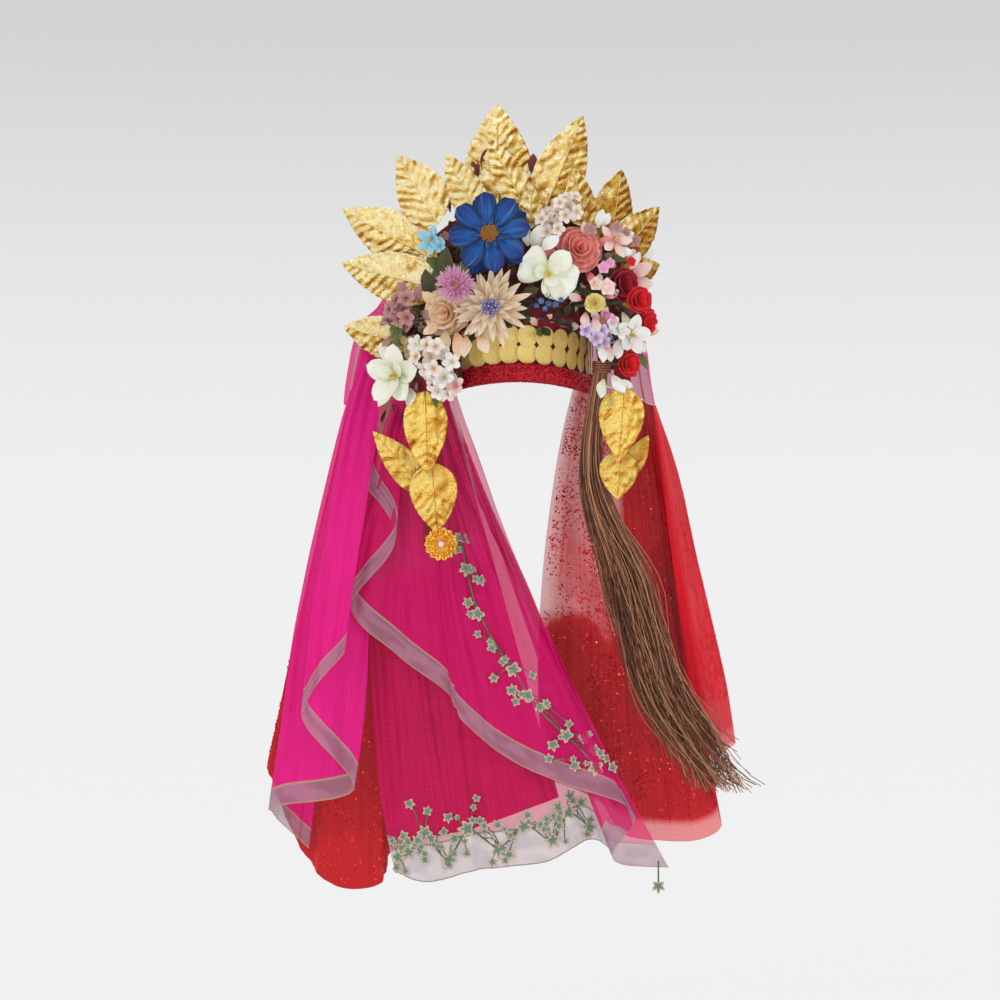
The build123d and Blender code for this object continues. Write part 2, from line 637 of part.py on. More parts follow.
# Falls: top place or bearing first, then the hem across, in depth and down, and the sideways bow,
# in shares of the veil's spread, depth and drop
FUCHSIA_SIDE = [
    ("top_across", "top_depth", "top_drop", "across", "depth", "drop", "bow"),
    (-0.560, -0.06, -0.076, -0.736, -0.92, 0.566, 0.00),
    (-0.690, -0.02, -0.090, -0.916, -0.86, 0.704, -0.02),
    (-0.620, 0.08, -0.090, -0.704, -0.58, 0.864, 0.04),
    (-0.675, 0.16, -0.090, -1.044, -0.36, 0.908, -0.04),
    (-0.650, 0.30, -0.090, -1.052, -0.08, 0.940, -0.04),
    (-0.580, 0.44, -0.090, -0.920, 0.08, 1.010, -0.02),
]
FUCHSIA_FRONT = [
    ("bearing", "across", "depth", "drop", "bow"),
    (-64, -0.648, -0.56, 0.214, 0.00),
    (-60, -0.524, -0.76, 0.330, 0.02),
    (-56, -0.712, -0.68, 0.472, -0.02),
    (-51, -0.516, -0.63, 0.576, 0.00),
    (-46, -0.296, -0.66, 0.660, 0.00),
    (-42, -0.244, -0.72, 0.712, 0.00),
    (-38, -0.052, -0.66, 0.794, 0.00),
    (-35, 0.188, -0.72, 0.850, 0.00),
    (-32, 0.500, -0.66, 0.912, -0.03),
    (-29, 0.412, -0.50, 1.018, -0.02),
    (-26, 0.652, -0.60, 1.036, -0.06),
]
FUCHSIA_BACK = [
    ("bearing", "across", "depth", "drop", "bow"),
    (-62, -0.532, -0.32, 1.052, -0.12),
    (-55, -0.384, -0.46, 1.070, -0.04),
    (-48, -0.164, -0.28, 1.048, 0.00),
    (-42, 0.124, -0.45, 1.026, 0.00),
    (-36, 0.320, -0.28, 0.982, 0.00),
    (-31, 0.420, -0.20, 1.012, 0.00),
]
RED_LEFT = [
    ("turn", "across", "depth", "drop", "bow"),
    (-82, -1.120, 0.50, 0.832, 0.00),
    (-76, -1.064, 0.34, 0.902, 0.00),
    (-70, -0.950, 0.24, 1.020, 0.00),
    (-62, -0.800, -0.08, 1.088, 0.00),
    (-54, -0.600, -0.14, 1.082, 0.00),
    (-46, -0.532, 0.10, 1.012, 0.00),
    (-38, -0.164, 0.36, 0.968, 0.00),
    (-28, 0.188, 0.30, 0.902, 0.00),
]
RED_RIGHT = [
    ("turn", "across", "depth", "drop", "bow"),
    (24, 0.120, 0.30, 0.860, -0.08),
    (33, 0.352, 0.06, 0.902, -0.04),
    (42, 0.460, -0.08, 0.972, 0.00),
    (52, 0.628, 0.04, 0.992, 0.00),
    (62, 0.804, -0.10, 0.986, 0.00),
    (72, 0.900, 0.00, 0.950, 0.00),
    (80, 0.832, -0.06, 0.840, 0.00),
    (88, 0.952, -0.14, 0.774, 0.03),
    (95, 0.780, -0.26, 0.800, 0.00),
]


def lower_edge_of_crest(bearing, layer):
    """A point just under the crest's left foot, one cloth layer after another from its front."""
    return on_crest(bearing, -layer * (CLOTH + CLEARANCE) - CLEARANCE, CREST_FOOT - CLOTH_GAP)


def lower_edge_of_hood(turn):
    """A point just under the hood's lower edge."""
    return hood_point(turn, 1) - Vector(0, 0, CLOTH_GAP)


side_tops = [Vector(x * VEIL_SPREAD, y * VEIL_DEPTH, -z * VEIL_DROP) for x, y, z, *rest in FUCHSIA_SIDE[1:]]
front_tops = [lower_edge_of_crest(row[0], 0) for row in FUCHSIA_FRONT[1:]]
back_tops = [lower_edge_of_crest(row[0], 1) for row in FUCHSIA_BACK[1:]]
red_left_tops = [lower_edge_of_hood(row[0]) for row in RED_LEFT[1:]]
red_right_tops = [lower_edge_of_hood(row[0]) for row in RED_RIGHT[1:]]
# The falls: their tops, their tables with the first hem column, and how soon each settles to its hem's depth
FALLS = [
    ("name", "tops", "table", "first", "settle"),
    ("fuchsia_side", side_tops, FUCHSIA_SIDE, 3, 2.0),
    ("fuchsia_front", front_tops, FUCHSIA_FRONT, 1, 1.3),
    ("fuchsia_back", back_tops, FUCHSIA_BACK, 1, 1.0),
    ("red_left", red_left_tops, RED_LEFT, 1, 1.0),
    ("red_right", red_right_tops, RED_RIGHT, 1, 1.0),
]
points = {}
for name, tops, table, first, settle in FALLS[1:]:
    points[name] = fall(tops, [row[first:] for row in table[1:]], settle)
    columns = COLUMNS_PER_FOLD * (len(tops) - 1)
    save(Part([cloth_wall(points[name], columns, CLOTH_ROWS)]), name)


# Strands

# Middle across, drop, depth and half width of the bundle on its way down, in shares of the veil's
# spread, drop, depth and depth
STRAND_STATIONS = [
    ("across", "drop", "depth", "half_width"),
    (0.336, 0.004, -0.79, 0.080),
    (0.316, 0.124, -0.70, 0.120),
    (0.340, 0.240, -0.64, 0.180),
    (0.448, 0.380, -0.62, 0.280),
    (0.520, 0.512, -0.60, 0.310),
    (0.616, 0.650, -0.58, 0.340),
    (0.760, 0.770, -0.56, 0.360),
    (0.888, 0.864, -0.54, 0.320),
]
strand_head_radius = STRAND_STATIONS[1][3] * VEIL_DEPTH
strand_head = seat_at(STRAND_HEAD_X, CREST_HEIGHT * STRAND_HEAD_LEVEL) - Vector(0, strand_head_radius, 0)
locks = []
for index in range(STRAND_LOCKS):
    lean = 2 * index / (STRAND_LOCKS - 1) - 1
    with BuildPart() as lock:
        with BuildSketch(Plane(strand_head)):
            RegularPolygon(strand_head_radius, STRAND_SIDES)
        for across, drop, depth, half_width in STRAND_STATIONS[2:]:
            spread = half_width * VEIL_DEPTH
            radius = STRAND_FILL * spread + STRAND_LEAST
            shift = STRAND_STAGGER * spread * (index % 2)
            station = Vector(across * VEIL_SPREAD + lean * (spread - radius), depth * VEIL_DEPTH - shift,
                             -drop * VEIL_DROP)
            with BuildSketch(Plane(station)):
                RegularPolygon(radius, STRAND_SIDES)
        loft(ruled=True)
    locks.append(lock.part)
with BuildPart() as strand_bundle:
    for lock_solid in locks:
        add(lock_solid)
save(strand_bundle.part, "strand_bundle")


# Ivy

def stem_solid(points):
    """A thin stem of flat faces through a row of points."""
    rings = []
    for index, point in enumerate(points):
        ahead = points[min(index + 1, len(points) - 1)] - points[max(index - 1, 0)]
        frame = Plane(point, x_dir=ahead.cross(Vector(0, -1, 0)), z_dir=ahead)
        rings.append([frame.from_local_coords((IVY_STEM_RADIUS * cos(2 * pi * side / IVY_SIDES),
                                               IVY_STEM_RADIUS * sin(2 * pi * side / IVY_SIDES), 0))
                      for side in range(IVY_SIDES)])
    corners = [tuple(rings[0]), tuple(rings[-1])]
    for low, high in zip(rings, rings[1:]):
        for side in range(IVY_SIDES):
            after = (side + 1) % IVY_SIDES
            corners.append((low[side], low[after], high[after]))
            corners.append((low[side], high[after], high[side]))
    return Solid(Shell([Face(Wire.make_polygon(list(around))) for around in corners]))


# Outline of an ivy leaf: degrees from its tip and reach as a share of the leaf's length
IVY_OUTLINE = [
    ("angle", "reach"),
    (0, 1.00), (24, 0.50), (52, 0.86), (84, 0.46), (122, 0.70), (165, 0.30),
    (195, 0.30), (238, 0.70), (276, 0.46), (308, 0.86), (336, 0.50),
]


def ivy_leaf(place, length, spin):
    """A five-lobed leaf lying in a plane, its tip turned by a spin in degrees."""
    with BuildPart() as leaf:
        with BuildSketch(place):
            with BuildLine():
                Polyline([Vector(0, reach * length).rotate(Axis.Z, angle + spin)
                          for angle, reach in IVY_OUTLINE[1:]], close=True)
            make_face()
        extrude(amount=IVY_THICKNESS)
    return leaf.part


def off_cloth(point, u, v):
    """A plane that floats just in front of a cloth at (u, v) and faces away from it."""
    nudge = 0.01
    across = point(min(u + nudge, 1), v) - point(max(u - nudge, 0), v)
    down = point(u, min(v + nudge, 1)) - point(u, max(v - nudge, 0))
    outward = down.cross(across).normalized()
    return Plane(point(u, v) + outward * IVY_STANDOFF, x_dir=across, z_dir=outward)


# Places of the ivy's leaves on each cloth, with their size as a share of the usual one and their spin
IVY_FRONT = [
    ("u", "v", "size", "spin"),
    (0.600, 0.40, 0.9, 20), (0.600, 0.48, 1.0, 200), (0.610, 0.60, 1.0, 160), (0.670, 0.72, 1.1, 230),
    (0.690, 0.78, 1.0, 130), (0.735, 0.86, 1.0, 60), (0.760, 0.92, 1.1, 190),
]
IVY_BACK = [
    ("u", "v", "size", "spin"),
    (0.060, 0.96, 1.1, 240), (0.130, 0.94, 1.1, 160), (0.210, 0.90, 1.0, 30), (0.290, 0.96, 1.2, 190),
    (0.380, 0.91, 1.2, 80), (0.470, 0.96, 1.1, 170), (0.560, 0.92, 1.2, 20), (0.640, 0.96, 1.1, 200),
    (0.730, 0.93, 1.1, 330), (0.820, 0.97, 1.2, 150),
]


def sprig(point, table):
    """A vine over a cloth through the leaves of a table, with its leaves."""
    path = []
    for (u, v, *rest), (next_u, next_v, *rest) in zip(table[1:], table[2:]):
        for step in range(IVY_STEPS):
            share = step / IVY_STEPS
            path.append(off_cloth(point, u + (next_u - u) * share, v + (next_v - v) * share).origin)
    path.append(off_cloth(point, *table[-1][:2]).origin)
    leaves = [ivy_leaf(off_cloth(point, u, v), size * IVY_LEAF, spin) for u, v, size, spin in table[1:]]
    return [stem_solid(path)] + leaves


front_sprig = sprig(points["fuchsia_front"], IVY_FRONT)
back_sprig = sprig(points["fuchsia_back"], IVY_BACK)
corner = off_cloth(points["fuchsia_front"], IVY_CORNER, IVY_CORNER).origin
hanging = corner - Vector(0, 0, IVY_HANG)
hanging_place = Plane(hanging, x_dir=(1, 0, 0), z_dir=(0, -1, 0))
hanging_leaf = ivy_leaf(hanging_place, IVY_LEAF, 180)
hanging_stem = stem_solid([corner, (corner + hanging) * 0.5, hanging])
with BuildPart() as ivy_garland:
    for piece in front_sprig + back_sprig + [hanging_stem, hanging_leaf]:
        add(piece)
save(ivy_garland.part, "ivy_garland")
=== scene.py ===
from math import atan2, cos, degrees, pi, radians, sin, sqrt
from random import Random

import bpy
from mathutils import Matrix, Vector, noise


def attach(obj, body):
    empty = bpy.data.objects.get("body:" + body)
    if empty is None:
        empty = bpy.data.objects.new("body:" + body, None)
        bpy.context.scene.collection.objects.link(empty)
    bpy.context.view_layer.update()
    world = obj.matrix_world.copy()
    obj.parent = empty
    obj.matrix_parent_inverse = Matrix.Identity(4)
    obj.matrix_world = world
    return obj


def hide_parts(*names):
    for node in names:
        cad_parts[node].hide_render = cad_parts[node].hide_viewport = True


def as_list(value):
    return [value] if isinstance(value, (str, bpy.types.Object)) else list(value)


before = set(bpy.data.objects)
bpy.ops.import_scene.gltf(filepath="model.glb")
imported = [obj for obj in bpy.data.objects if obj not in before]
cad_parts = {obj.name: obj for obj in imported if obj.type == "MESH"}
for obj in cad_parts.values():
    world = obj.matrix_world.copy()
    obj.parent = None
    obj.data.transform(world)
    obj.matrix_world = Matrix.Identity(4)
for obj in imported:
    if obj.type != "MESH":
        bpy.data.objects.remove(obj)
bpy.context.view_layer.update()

# Bridal headpiece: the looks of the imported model. Lengths are in millimetres until a mesh is made.
MM = 0.001

# Sizes shared with the model
HEAD_WIDTH = 152
HEAD_DEPTH = 188
CAP_WALL = 3
FRONT_RIM = 6
RIM_ARCH = 15
RIM_RISE_TO_BACK = 13
CLEARANCE = 0.3
BAND_THICKNESS = 9
BAND_HEIGHT = 17.5
COIN_DIAMETER = 23
COIN_THICKNESS = 1
COIN_PITCH = 18
COIN_YAW = 7
COIN_FIRST = -54
COIN_LAST = 84
COIN_GAP_OVER_BAND = 0.6
COIN_STANDOFF = 2.2
COIN_RELIEF = 0.4
CREST_AXIS = 50
CREST_THICKNESS = 4
CREST_HALF = 138
CREST_HEIGHT = 195
CREST_FOOT = -0.025 * CREST_HEIGHT
LEAF_FOLD = 0.2
LEAF_STEP = 9
LEAF_SWEEP = 0.38
LEAF_BEND = 400
LEAF_TURN = 0.8
BLOOM = 46
STEM_RADIUS = 1.5
RIBBON_WIDTH = 18
RIBBON_THICKNESS = 1.5
PENDANT_LEFT_DROP = 172
PENDANT_RIGHT_DROP = 112
ROSETTE_STANDOFF = 22
RIBBON_LEFT_X = 92
RIBBON_RIGHT_X = 113
RIBBON_LEFT_TOP = 12
RIBBON_RIGHT_TOP = 36
RIBBON_TUCK = 18
RIBBON_LEAN = 14
ROSETTE_RADIUS = 17
ROSETTE_SHIFT = 11
VEIL_DROP = 500
VEIL_SPREAD = 250
VEIL_DEPTH = 100
CLOTH = 1.2
CLOTH_GAP = 0.6
HOOD_LEFT = 186
HOOD_RIGHT = 150
HOOD_BACK = 115
HOOD_MIDDLE = 10
HOOD_EDGE = 24
HOOD_EDGE_DROP = 40
HOOD_SHOULDER = 85
HOOD_BULGE = 0.91
HOOD_BULGE_SIDE = 0.06
HOOD_BULGE_BACK = 0.95
HOOD_TUCK = 6
HOOD_SIDE_GAP = 15
HOOD_TURN = 95
HOOD_PLEAT = 5
HOOD_PLEATS = 9
IVY_LEAF = 10
IVY_STANDOFF = 1.7
IVY_HANG = 26
IVY_CORNER = 0.985
STRAND_HEAD_X = 90
STRAND_HEAD_LEVEL = 0.12

CAP_HALF_WIDTH = HEAD_WIDTH / 2 + CAP_WALL
CAP_HALF_DEPTH = HEAD_DEPTH / 2 + CAP_WALL
ARCH_RADIUS = (CAP_HALF_WIDTH ** 2 + RIM_ARCH ** 2) / (2 * RIM_ARCH)
CREST_FRONT = CREST_AXIS + CAP_HALF_DEPTH + CLEARANCE + CREST_THICKNESS
CREST_BACK = CREST_FRONT - CREST_THICKNESS
CREST_ARCH_CENTRE = CREST_HEIGHT - CREST_HALF

# Camera: straight on, from three metres
CAMERA_BACK = 3000
CAMERA_X = -18.7
CAMERA_Z = -121
PIXEL = 1.1
MIDDLE_PIXEL = 500
LENS = 98.2
SENSOR = 36


def pixel(across, down, y):
    """The point at depth y that the photo shows at a pixel."""
    scale = PIXEL * (CAMERA_BACK + y) / CAMERA_BACK
    return Vector((CAMERA_X + (across - MIDDLE_PIXEL) * scale, y, CAMERA_Z + (MIDDLE_PIXEL - down) * scale))


# Materials

WEAVE = 900 / 6.3
# Painted light on the foil: where its bumped surface faces this way, up and to the left, it takes the
# brighter colours as painted highlights, and where it faces away, the darker ones as painted shade
PAINTED_LIGHT_SIDE = (-0.45, 0.0, 0.90)
BORDER_COVER = (0.70, 0.70, 0.70)
THREAD_COVER = (0.95, 0.95, 0.95)


def rgba(colour):
    """A colour with its alpha, and a socket or number as it is."""
    return (*colour, 1) if isinstance(colour, tuple) else colour


class Look:
    """A material, with short ways to add nodes to it."""

    def __init__(self, name, colour, roughness, **sockets):
        self.material = bpy.data.materials.new(name)
        self.material.use_nodes = True
        self.tree = self.material.node_tree
        self.shader = self.tree.nodes["Principled BSDF"]
        self.colour(rgba(colour))
        self.feed(self.shader.inputs["Roughness"], roughness)
        for key, value in sockets.items():
            self.feed(self.shader.inputs[key.replace("_", " ")], value)

    def feed(self, socket, value):
        if isinstance(value, bpy.types.NodeSocket):
            self.tree.links.new(value, socket)
        else:
            socket.default_value = value

    def colour(self, value):
        self.feed(self.shader.inputs["Base Color"], value)

    def node(self, kind, inputs, **settings):
        made = self.tree.nodes.new("ShaderNode" + kind)
        for key, value in settings.items():
            setattr(made, key, value)
        for key, value in inputs.items():
            self.feed(made.inputs[key], value)
        return made

    def marks(self):
        """The three values that the mesh carries at each point: across, along and a third."""
        return self.node("Attribute", {}, attribute_name="mark").outputs["Vector"]

    def mark(self, axis):
        return self.node("SeparateXYZ", {0: self.marks()}).outputs[axis]

    def place(self):
        """Where a point lies in the object's own space."""
        return self.node("TexCoord", {}).outputs["Object"]

    def math(self, operation, a, b=0.0):
        return self.node("Math", {0: a, 1: b}, operation=operation).outputs[0]

    def times(self, a, b):
        return self.math("MULTIPLY", a, b)

    def plus(self, a, b):
        return self.math("ADD", a, b)

    def noise(self, scale, detail=2, source=None):
        """Noise in the object's own space, or over another vector."""
        source = source or self.place()
        return self.node("TexNoise", {"Vector": source, "Scale": scale, "Detail": detail}).outputs[0]

    def grain(self, detail, *stretch):
        """Noise over the mesh's marks, stretched along each."""
        source = self.node("Mapping", {"Vector": self.marks(), "Scale": stretch}).outputs[0]
        return self.noise(1.0, detail, source)

    def ramp(self, factor, stops):
        made = self.node("ValToRGB", {0: factor})
        band = made.color_ramp
        while len(band.elements) < len(stops):
            band.elements.new(0.5)
        for element, (place, colour) in zip(band.elements, stops):
            element.position = place
            element.color = rgba(colour if isinstance(colour, tuple) else (colour, colour, colour))
        return made.outputs[0]

    def mix(self, factor, a, b, blend="MIX"):
        made = self.node("Mix", {0: factor}, data_type="RGBA", blend_type=blend)
        self.feed(made.inputs[6], rgba(a))
        self.feed(made.inputs[7], rgba(b))
        return made.outputs[2]

    def patches(self, factor, low, high, a, b, most=1.0):
        """Colour a where the factor is under low, turning to b above high."""
        return self.mix(self.ramp(factor, [(low, 0.0), (high, most)]), a, b)

    def bump(self, height, strength, distance):
        made = self.node("Bump", {"Strength": strength, "Distance": distance * MM, "Height": height})
        below = self.shader.inputs["Normal"]
        if below.is_linked:
            self.feed(made.inputs["Normal"], below.links[0].from_socket)
        self.feed(below, made.outputs[0])


def foil(name, stops, veins=1.0):
    """Crinkled metal foil, coloured with painted light: its bumped facets take painted shade or painted
    highlights by the way they face, and large patches of painted reflection shift parts to darker, warmer
    colours or lighter ones.
    """
    look = Look(name, (1.0, 0.7, 0.25), 0.2, Metallic=0.55, Specular_IOR_Level=0.3)
    across = look.math("ABSOLUTE", look.mark(2))
    slant = look.math("SUBTRACT", look.times(look.mark(1), 10.0), look.times(across, 0.8))
    ribs = look.math("SINE", look.plus(look.times(slant, 6.0), look.times(look.noise(55, 1), 5.0)))
    beside = look.times(across, 0.3)
    stretched = look.node("CombineXYZ", {0: slant, 1: beside, 2: look.times(look.mark(2), 0.4)}).outputs[0]
    creases = look.node("TexNoise", {"Vector": stretched, "Scale": 1.7, "Detail": 1.0, "Distortion": 0.8},
                        noise_type="RIDGED_MULTIFRACTAL")
    bent = look.mix(0.004, look.place(), look.node("TexNoise", {"Scale": 60.0}).outputs[1], "LINEAR_LIGHT")
    dents = look.node("TexVoronoi", {"Vector": bent, "Scale": 70.0}, feature="F1")
    look.bump(ribs, 0.45 * veins, 1.0)
    look.bump(creases.outputs[0], 0.35, 1.5)
    look.bump(dents.outputs[0], 0.4, 6.0)
    normal = look.shader.inputs["Normal"].links[0].from_socket
    # Painted light: how far the bumped surface faces the painted light side picks the colour, from painted
    # shade to painted highlight
    tilt = look.node("VectorMath", {0: normal, 1: PAINTED_LIGHT_SIDE}, operation="DOT_PRODUCT").outputs["Value"]
    # Painted reflection: large noise patches of darker, warmer colour and of lighter colour
    painted_reflection = look.times(look.math("SUBTRACT", look.noise(28), 0.5), 0.7)
    look.colour(look.ramp(look.plus(look.plus(look.times(tilt, 1.7), 0.44), painted_reflection), stops))
    look.feed(look.shader.inputs["Roughness"], look.ramp(look.noise(90), [(0.3, 0.20), (0.7, 0.38)]))
    return look.material


def petals(name, base, middle, tip, streak, vein=0.5, edge=None):
    """Artificial silk: colour along the petal, with streaks that run from its foot, and at its edges."""
    look = Look(name, middle, 0.55, Sheen_Weight=0.12, Specular_IOR_Level=0.3)
    along = look.ramp(look.mark(1), [(0.05, base), (0.40, middle), (0.95, tip)])
    colour = look.patches(look.grain(3, 3.2, 0.7, 9.0), 0.50, 0.74, along, streak, vein)
    if edge:
        colour = look.patches(look.math("ABSOLUTE", look.mark(0)), 0.55, 0.98, colour, edge, 0.9)
    look.colour(colour)
    look.bump(look.grain(2, 9.0, 0.6, 5.0), 0.5, 0.9)
    look.bump(look.noise(2600, 1), 0.15, 0.08)
    return look.material


def plain(name, colour, other, roughness, scale=120, metallic=0.0, bump=0.4):
    """A small thing's surface: two colours in patches and a fine grain."""
    look = Look(name, colour, roughness, Metallic=metallic)
    look.colour(look.patches(look.noise(scale, 3), 0.4, 0.62, colour, other))
    look.bump(look.noise(scale * 8), bump, 0.3)
    return look.material


def woven(name, colour, dark):
    """Plain woven cloth, with threads across and up."""
    look = Look(name, colour, 0.75, Sheen_Weight=0.4, Sheen_Roughness=0.4)
    look.colour(look.patches(look.noise(60, 3), 0.35, 0.7, colour, dark))
    for turn in ("X", "Z"):
        wave = look.node("TexWave", {"Vector": look.place(), "Scale": WEAVE, "Distortion": 0.6},
                         bands_direction=turn)
        look.bump(wave.outputs[1], 0.25, 0.15)
    return look.material


def sheer(name, colour, deep, alpha, border=None, border_width=0.0, thread=None):
    """Sheer cloth: fine threads both ways, a see-through weave and, where asked, a woven border.

    The mesh marks each point with its place across and down the cloth in decimetres, and with its distance
    from the bordered edge or, on cloth with no border, with how closely it is worked. Closely worked cloth
    is deeper in colour and hides what is behind it.
    """
    look = Look(name, colour, 0.5, Sheen_Weight=0.05, Sheen_Roughness=0.35, Sheen_Tint=(1.0, 0.70, 0.85, 1),
                Specular_IOR_Level=0.12)
    threads = look.mix(0.5, look.grain(1, 60.0, 1.2, 0.0), look.grain(1, 2.0, 90.0, 0.0))
    cover = look.ramp(threads, [(0.38, alpha * 0.94), (0.62, min(alpha * 1.06, 1.0))])
    third = look.mark(2)
    if border:
        # The border's colour with brighter noise patches of painted sheen
        bright = tuple(min(1.0, c * 1.35) for c in border)
        border_and_sheen = look.patches(look.grain(0, 5.0, 5.0, 5.0), 0.40, 0.62, border, bright)
        inside = look.math("LESS_THAN", third, border_width)
        body = look.mix(inside, look.patches(threads, 0.28, 0.72, deep, colour), border_and_sheen)
        cover = look.mix(inside, cover, BORDER_COVER)
        near = look.math("ABSOLUTE", look.math("SUBTRACT", third, border_width))
        line = look.math("MAXIMUM", look.math("LESS_THAN", near, 0.010), look.math("LESS_THAN", third, 0.013))
        body = look.mix(line, body, thread)
        cover = look.mix(line, cover, THREAD_COVER)
    else:
        body = look.mix(look.math("MINIMUM", third, 1.0), colour, deep)
        cover = look.math("MINIMUM", look.times(cover, look.plus(third, 1.0)), 0.985)
    look.colour(body)
    look.feed(look.shader.inputs["Alpha"], cover)
    look.bump(look.grain(1, 7.0, 1.3, 0.0), 0.6, 5.0)
    return look.material


def strand_look():
    """Copper wire and dark fibre, each strand in its own shade."""
    look = Look("copper_strand", (0.2, 0.08, 0.04), 0.34, Metallic=0.45)
    look.colour(look.ramp(look.mark(1), [(0.0, (0.05, 0.020, 0.012)), (0.30, (0.17, 0.062, 0.032)),
                                         (0.65, (0.40, 0.16, 0.080)), (1.0, (0.66, 0.35, 0.19))]))
    look.bump(look.noise(900), 0.3, 0.2)
    return look.material


def ivy_look():
    """Green felt leaves, paler towards their margins."""
    look = Look("ivy_leaf", (0.2, 0.3, 0.2), 0.6, Sheen_Weight=0.2)
    blotch = look.plus(look.mark(1), look.times(look.noise(420, 3), 0.5))
    look.colour(look.ramp(blotch, [(0.60, (0.13, 0.21, 0.15)), (0.90, (0.24, 0.31, 0.22)),
                                   (1.05, (0.68, 0.48, 0.36))]))
    look.bump(look.noise(700), 0.3, 0.3)
    return look.material


# The foil ramps run from painted shade in dark brown to painted highlights near white
GOLD = foil("gold_foil", [
    (0.02, (0.26, 0.07, 0.003)), (0.20, (0.66, 0.28, 0.015)), (0.40, (0.94, 0.54, 0.045)),
    (0.60, (1.0, 0.70, 0.11)), (0.84, (1.0, 0.86, 0.30)), (1.0, (1.0, 0.97, 0.70)),
])
PENDANT_GOLD = foil("pendant_foil", [
    (0.02, (0.30, 0.05, 0.002)), (0.20, (0.74, 0.23, 0.005)), (0.42, (0.98, 0.48, 0.015)),
    (0.62, (1.0, 0.68, 0.07)), (0.86, (1.0, 0.86, 0.28)),
], 0.6)
ROSETTE_GOLD = plain("rosette_foil", (1.0, 0.70, 0.16), (0.90, 0.42, 0.04), 0.24, 160, 0.8, 0.8)
COIN_GOLD = plain("coin_gilt", (1.00, 0.82, 0.30), (1.00, 0.68, 0.15), 0.30, 900, 0.15, 0.6)
CAP_RED = woven("cap_red", (0.46, 0.008, 0.055), (0.30, 0.004, 0.030))
# The crest's red cloth is darkened with painted shade, for the shadowed gaps between the flowers
CREST_RED_AND_SHADE = woven("crest_red_and_shade", (0.22, 0.006, 0.012), (0.05, 0.002, 0.004))
BAND_RED = woven("band_red", (0.30, 0.005, 0.012), (0.14, 0.002, 0.006))
RIBBON_RED = woven("ribbon_red", (0.42, 0.010, 0.030), (0.26, 0.004, 0.014))
BAND_SEQUIN = plain("band_sequin", (0.42, 0.004, 0.012), (0.70, 0.02, 0.04), 0.22, 300, 0.55, 0.1)
VEIL_SEQUIN = plain("veil_sequin", (0.62, 0.006, 0.015), (0.85, 0.03, 0.05), 0.25, 60, 0.45, 0.1)
BORDER = (0.34, 0.18, 0.25)
THREAD = (0.46, 0.30, 0.20)
FUCHSIA_OUTER = sheer("fuchsia_outer", (0.90, 0.020, 0.30), (0.80, 0.010, 0.23), 0.76, BORDER, 0.20, THREAD)
FUCHSIA = sheer("fuchsia_organza", (0.80, 0.010, 0.20), (0.62, 0.004, 0.115), 0.70, BORDER, 0.26, THREAD)
FUCHSIA_HEM = sheer("fuchsia_wide_hem", (0.76, 0.010, 0.15), (0.56, 0.004, 0.085), 0.66,
                    (0.46, 0.36, 0.38), 0.38, (0.34, 0.24, 0.20))
FUCHSIA_PLAIN = sheer("fuchsia_plain", (0.88, 0.018, 0.27), (0.64, 0.006, 0.16), 0.72)
RED_TULLE = sheer("red_tulle", (0.96, 0.014, 0.035), (0.56, 0.004, 0.010), 0.56)
STRAND = strand_look()
IVY = ivy_look()
STEM_GREEN = plain("stem_green", (0.13, 0.20, 0.08), (0.07, 0.11, 0.05), 0.6)
TWIG = plain("twig", (0.13, 0.085, 0.07), (0.26, 0.19, 0.15), 0.7)
TWIG_DARK = plain("twig_dark", (0.012, 0.010, 0.010), (0.05, 0.03, 0.02), 0.6)
CRYSTAL = Look("crystal", (0.98, 0.62, 0.72), 0.05, Coat_Weight=1.0, Specular_IOR_Level=1.0).material
BERRY = plain("blue_berry", (0.03, 0.06, 0.25), (0.10, 0.18, 0.45), 0.35)
SCALLOP = plain("scallop_thread", (0.85, 0.30, 0.42), (0.95, 0.62, 0.66), 0.6, 500)
LACE = plain("magenta_lace", (0.72, 0.10, 0.42), (0.90, 0.50, 0.72), 0.6, 500)
HEART_LOOKS = {
    "brown": plain("heart_brown", (0.42, 0.16, 0.02), (0.20, 0.06, 0.01), 0.7, 700, 0.0, 1.0),
    "yellow": plain("heart_yellow", (0.86, 0.62, 0.10), (0.60, 0.45, 0.06), 0.6, 700, 0.0, 0.8),
    "violet": plain("heart_violet", (0.20, 0.17, 0.45), (0.42, 0.38, 0.62), 0.6, 500),
}


# Meshes

# What the mesh says of a point that no grid places
PLAIN_MARK = (0, 0.5, 0)


def polar(radius, angle, height=0.0):
    """A point round the upright axis, at an angle from x."""
    return Vector((radius * cos(angle), radius * sin(angle), height))


